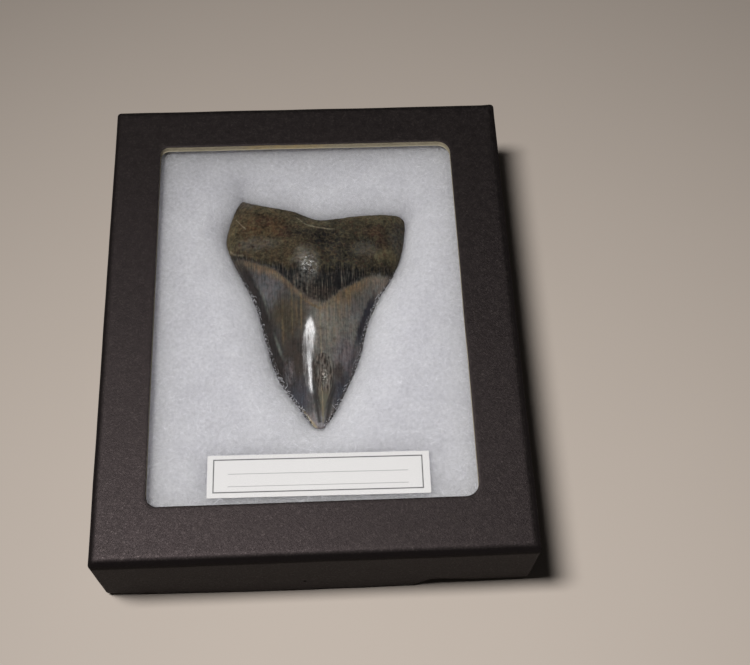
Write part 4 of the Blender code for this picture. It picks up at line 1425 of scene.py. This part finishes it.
def build_edge_strands(settings):
    """Strands of batting that cling to the cutting edges and lie over them."""
    verts, faces, shown = [], [], []
    for side, outward in ((0.0, -1.0), (1.0, 1.0)):
        faces += grid_faces(len(EDGE_ROWS) - 1, EDGE_STEPS, len(verts))
        for k in range(EDGE_STEPS + 1):
            v = k / EDGE_STEPS
            x, y = outline_point(side, v)
            tuft = float(smoothstep(-0.3, 0.3, roughness_at(x, y, 6.0, 1.6, 2)))
            on_blade = float(smoothstep(0.82, 0.6, v))
            beside = 0.6 + 0.4 * math.exp(-((y - LINT_HEIGHT) / 6.0) ** 2) if side else 1.0
            for away, lift in EDGE_ROWS:
                verts.append(TOOTH_TIP + Vector((x + outward * away, y - away * 0.5, lift)) * MM)
                shown.append((0.15 + 0.85 * tuft) * (0.3 + 0.7 * on_blade) * beside)
    strands = new_object("edge_strands", plain_mesh("edge_strands", verts, [], faces, in_view=shown))
    finish = batting_material(settings, "clinging strand", 0.01 * MM, 0.0, 1.3)
    scatter_strands(
        strands, finish, Density=EDGE_DENSITY, Length=EDGE_STRAND, Radius=settings.thickness * 1.7,
        Curl=0.2 * MM, Tilt=0.4, Ceiling=LABEL_LOW.z, Seed=5)
    return finished(strands, "batting")


def serration_tree(material):
    """Small rounded points set side by side along a line."""
    g = Nodes(bpy.data.node_groups.new("serrations", "GeometryNodeTree"))
    given = g.start((("Pitch", "Float", 0.85 * MM), ("Seed", "Int", 0)))
    path = g.node("GeometryNodeMeshToCurve", {"Mesh": given["Geometry"]})
    marks = g.node("GeometryNodeResampleCurve", {"Curve": path[0], "Length": given["Pitch"]},
                   mode="LENGTH")
    along = g.node("GeometryNodeInputTangent")[0]
    turn = g.node("FunctionNodeAlignRotationToVector", {"Vector": along}, axis="X")[0]
    point = g.node("GeometryNodeMeshIcoSphere", {"Radius": 1.0, "Subdivisions": 2})
    sizes = g.random((0.42, 0.5, 0.3), (0.56, 0.72, 0.46), given["Seed"], "FLOAT_VECTOR")
    grown = g.scaled(sizes, given["Pitch"])
    placed = g.node("GeometryNodeInstanceOnPoints", {
        "Points": marks[0], "Instance": point[0], "Rotation": turn, "Scale": grown})
    g.finish(placed[0], material)
    return g.tree


def build_serrations(settings):
    """The fine teeth along both cutting edges of the blade."""
    verts, edges = [], []
    for side, low, high in SERRATED:
        first = len(verts)
        edges += [(first + k, first + k + 1) for k in range(SERRATION_STEPS)]
        for k in range(SERRATION_STEPS + 1):
            plan = outline_point(side, low + (high - low) * k / SERRATION_STEPS)
            verts.append(TOOTH_TIP + Vector((plan.x, plan.y, 0.0)) * MM)
    points = new_object("serrations", plain_mesh("serrations", verts, edges, []))
    run_tree(points, serration_tree(serration_material(settings)), Pitch=settings.serration, Seed=4)
    shade(points.data, 60)
    return finished(points, "fossil")


def build_label(settings):
    half_w, half_l = (size / 2 for size in LABEL_SIZE)
    place = (LABEL_LOW + LABEL_HIGH) / 2
    cos, sin = math.cos(math.radians(LABEL_TURN)), math.sin(math.radians(LABEL_TURN))
    columns, rows = LABEL_GRID
    verts, faces, card_x, card_y, printed = [], [], [], [], []

    def add_sheet(z, upper):
        first = len(verts)
        for j in range(rows + 1):
            for i in range(columns + 1):
                x = half_w * (2 * i / columns - 1)
                y = half_l * (2 * j / rows - 1)
                wave = 0.03 * MM * roughness_at(x / MM, y / MM, 4.0, 12.0, 2)
                ragged = 0.05 * MM * roughness_at(x / MM, y / MM, 8.0, 1.2, 2)
                px = x + (ragged if i in (0, columns) else 0.0)
                py = y + (ragged if j in (0, rows) else 0.0)
                verts.append((place.x + px * cos - py * sin, place.y + px * sin + py * cos, z + wave))
                card_x.append(px / MM + PRINT_SHIFT[0])
                card_y.append(py / MM + PRINT_SHIFT[1])
                printed.append(1.0 if upper else 0.0)
        return first

    low = add_sheet(LABEL_LOW.z + 0.04 * MM, False)
    high = add_sheet(LABEL_HIGH.z - 0.04 * MM, True)
    for ring in grid_faces(columns, rows):
        faces += [tuple(high + k for k in ring), tuple(low + ring[k] for k in (0, 3, 2, 1))]
    rim = grid_rim(columns, rows)
    for a, b in zip(rim, rim[1:] + rim[:1]):
        faces.append((low + a, low + b, high + b, high + a))
    mesh = plain_mesh("label_card", verts, [], faces, card_x=card_x, card_y=card_y, printed=printed)
    shade(mesh, 40)
    label = new_object("label_card", mesh, label_material(settings))
    return finished(label, "label_card", "label")


def dress_node(name, material):
    """Give a solid that stays its own finish."""
    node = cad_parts[name]
    node.data.materials.clear()
    node.data.materials.append(material)


def add_lamp(name, power, width, depth, place, target, spread):
    """A soft elliptical lamp at a place, turned to a target with its width kept along x."""
    lamp = bpy.data.lights.new(name, "AREA")
    lamp.energy = power
    lamp.shape = "ELLIPSE"
    lamp.size = width
    lamp.size_y = depth
    lamp.spread = math.radians(spread)
    obj = bpy.data.objects.new(name, lamp)
    bpy.context.scene.collection.objects.link(obj)
    obj.location = place
    down = Vector((0.0, 0.0, -1.0))
    obj.rotation_euler = down.rotation_difference(Vector(target) - Vector(place)).to_euler()
    return lamp


def build_stage(settings):
    scene = bpy.context.scene
    scene.view_settings.view_transform = "Standard"
    camera = bpy.data.cameras.new("camera")
    camera.sensor_width = 36.0
    camera.lens = settings.lens
    camera.clip_start = 0.01
    obj = bpy.data.objects.new("camera", camera)
    obj.location = CAMERA_PLACE
    obj.rotation_euler = [math.radians(a) for a in CAMERA_TURN]
    scene.collection.objects.link(obj)
    scene.camera = obj
    add_lamp("key", settings.key, *KEY_SIZE, KEY_PLACE, KEY_TARGET, KEY_SPREAD)
    world = bpy.data.worlds.new("room")
    world.use_nodes = True
    room = world.node_tree.nodes["Background"].inputs
    room["Color"].default_value = ROOM_COLOUR
    room["Strength"].default_value = settings.room
    scene.world = world
    half = FLOOR_SIZE / 2
    corners = [(x, y, FLOOR_LEVEL) for x, y in ((-half, -half), (half, -half), (half, half), (-half, half))]
    floor = new_object("floor", plain_mesh("floor", corners, [], [(0, 1, 2, 3)]), floor_material(settings))


class SPECIMEN_OT_stage(bpy.types.Operator):
    """Set up the camera, the soft light and the pale floor"""
    bl_idname = "specimen.build_stage"
    bl_label = "Build Stage"

    def execute(self, context):
        build_stage(context.scene.specimen_stage)
        return {"FINISHED"}


class SPECIMEN_OT_lid(bpy.types.Operator):
    """Build the paper-covered lid with its window, and cover the tray under it"""
    bl_idname = "specimen.build_lid"
    bl_label = "Build Lid and Tray"

    def execute(self, context):
        settings = context.scene.specimen_lid
        build_lid(settings)
        dress_node("base", paper_material("tray paper", settings, 0.5))
        return {"FINISHED"}


class SPECIMEN_OT_pane(bpy.types.Operator):
    """Glaze the window"""
    bl_idname = "specimen.build_pane"
    bl_label = "Build Pane"

    def execute(self, context):
        dress_node("pane", glass_material())
        return {"FINISHED"}


class SPECIMEN_OT_batting(bpy.types.Operator):
    """Fill the tray with white batting and its loose strands"""
    bl_idname = "specimen.build_batting"
    bl_label = "Build Batting"

    def execute(self, context):
        build_batting(context.scene.specimen_batting)
        build_edge_strands(context.scene.specimen_batting)
        return {"FINISHED"}


class SPECIMEN_OT_tooth(bpy.types.Operator):
    """Build the fossil tooth and its serrations"""
    bl_idname = "specimen.build_tooth"
    bl_label = "Build Tooth"

    def execute(self, context):
        build_tooth(context.scene.specimen_tooth)
        build_serrations(context.scene.specimen_tooth)
        return {"FINISHED"}


class SPECIMEN_OT_label(bpy.types.Operator):
    """Build the label card"""
    bl_idname = "specimen.build_label"
    bl_label = "Build Label"

    def execute(self, context):
        build_label(context.scene.specimen_label)
        return {"FINISHED"}


GROUPS = {
    "specimen_stage": (StageSettings, SPECIMEN_OT_stage),
    "specimen_lid": (LidSettings, SPECIMEN_OT_lid),
    "specimen_batting": (BattingSettings, SPECIMEN_OT_batting),
    "specimen_tooth": (ToothSettings, SPECIMEN_OT_tooth),
    "specimen_label": (LabelSettings, SPECIMEN_OT_label),
}


class SPECIMEN_PT_panel(bpy.types.Panel):
    """Lists the pieces of the boxed tooth and the values that a user may change"""
    bl_idname = "SPECIMEN_PT_panel"
    bl_label = "Boxed Fossil Tooth"
    bl_space_type = "VIEW_3D"
    bl_region_type = "UI"
    bl_category = "Specimen"

    def draw(self, context):
        for name, (group, operator) in GROUPS.items():
            box = self.layout.box()
            for field in group.__annotations__:
                box.prop(getattr(context.scene, name), field)
            box.operator(operator.bl_idname)
        self.layout.operator(SPECIMEN_OT_pane.bl_idname)


CLASSES = [c for pair in GROUPS.values() for c in pair] + [SPECIMEN_OT_pane, SPECIMEN_PT_panel]


def register():
    for cls in CLASSES:
        bpy.utils.register_class(cls)
    for name, (group, _) in GROUPS.items():
        setattr(bpy.types.Scene, name, bpy.props.PointerProperty(type=group))


def unregister():
    for name in GROUPS:
        delattr(bpy.types.Scene, name)
    for cls in reversed(CLASSES):
        bpy.utils.unregister_class(cls)


def main():
    register()
    bpy.ops.specimen.build_stage()
    bpy.ops.specimen.build_lid()
    bpy.ops.specimen.build_pane()
    bpy.ops.specimen.build_batting()
    bpy.ops.specimen.build_tooth()
    bpy.ops.specimen.build_label()


if __name__ == "__main__":
    main()
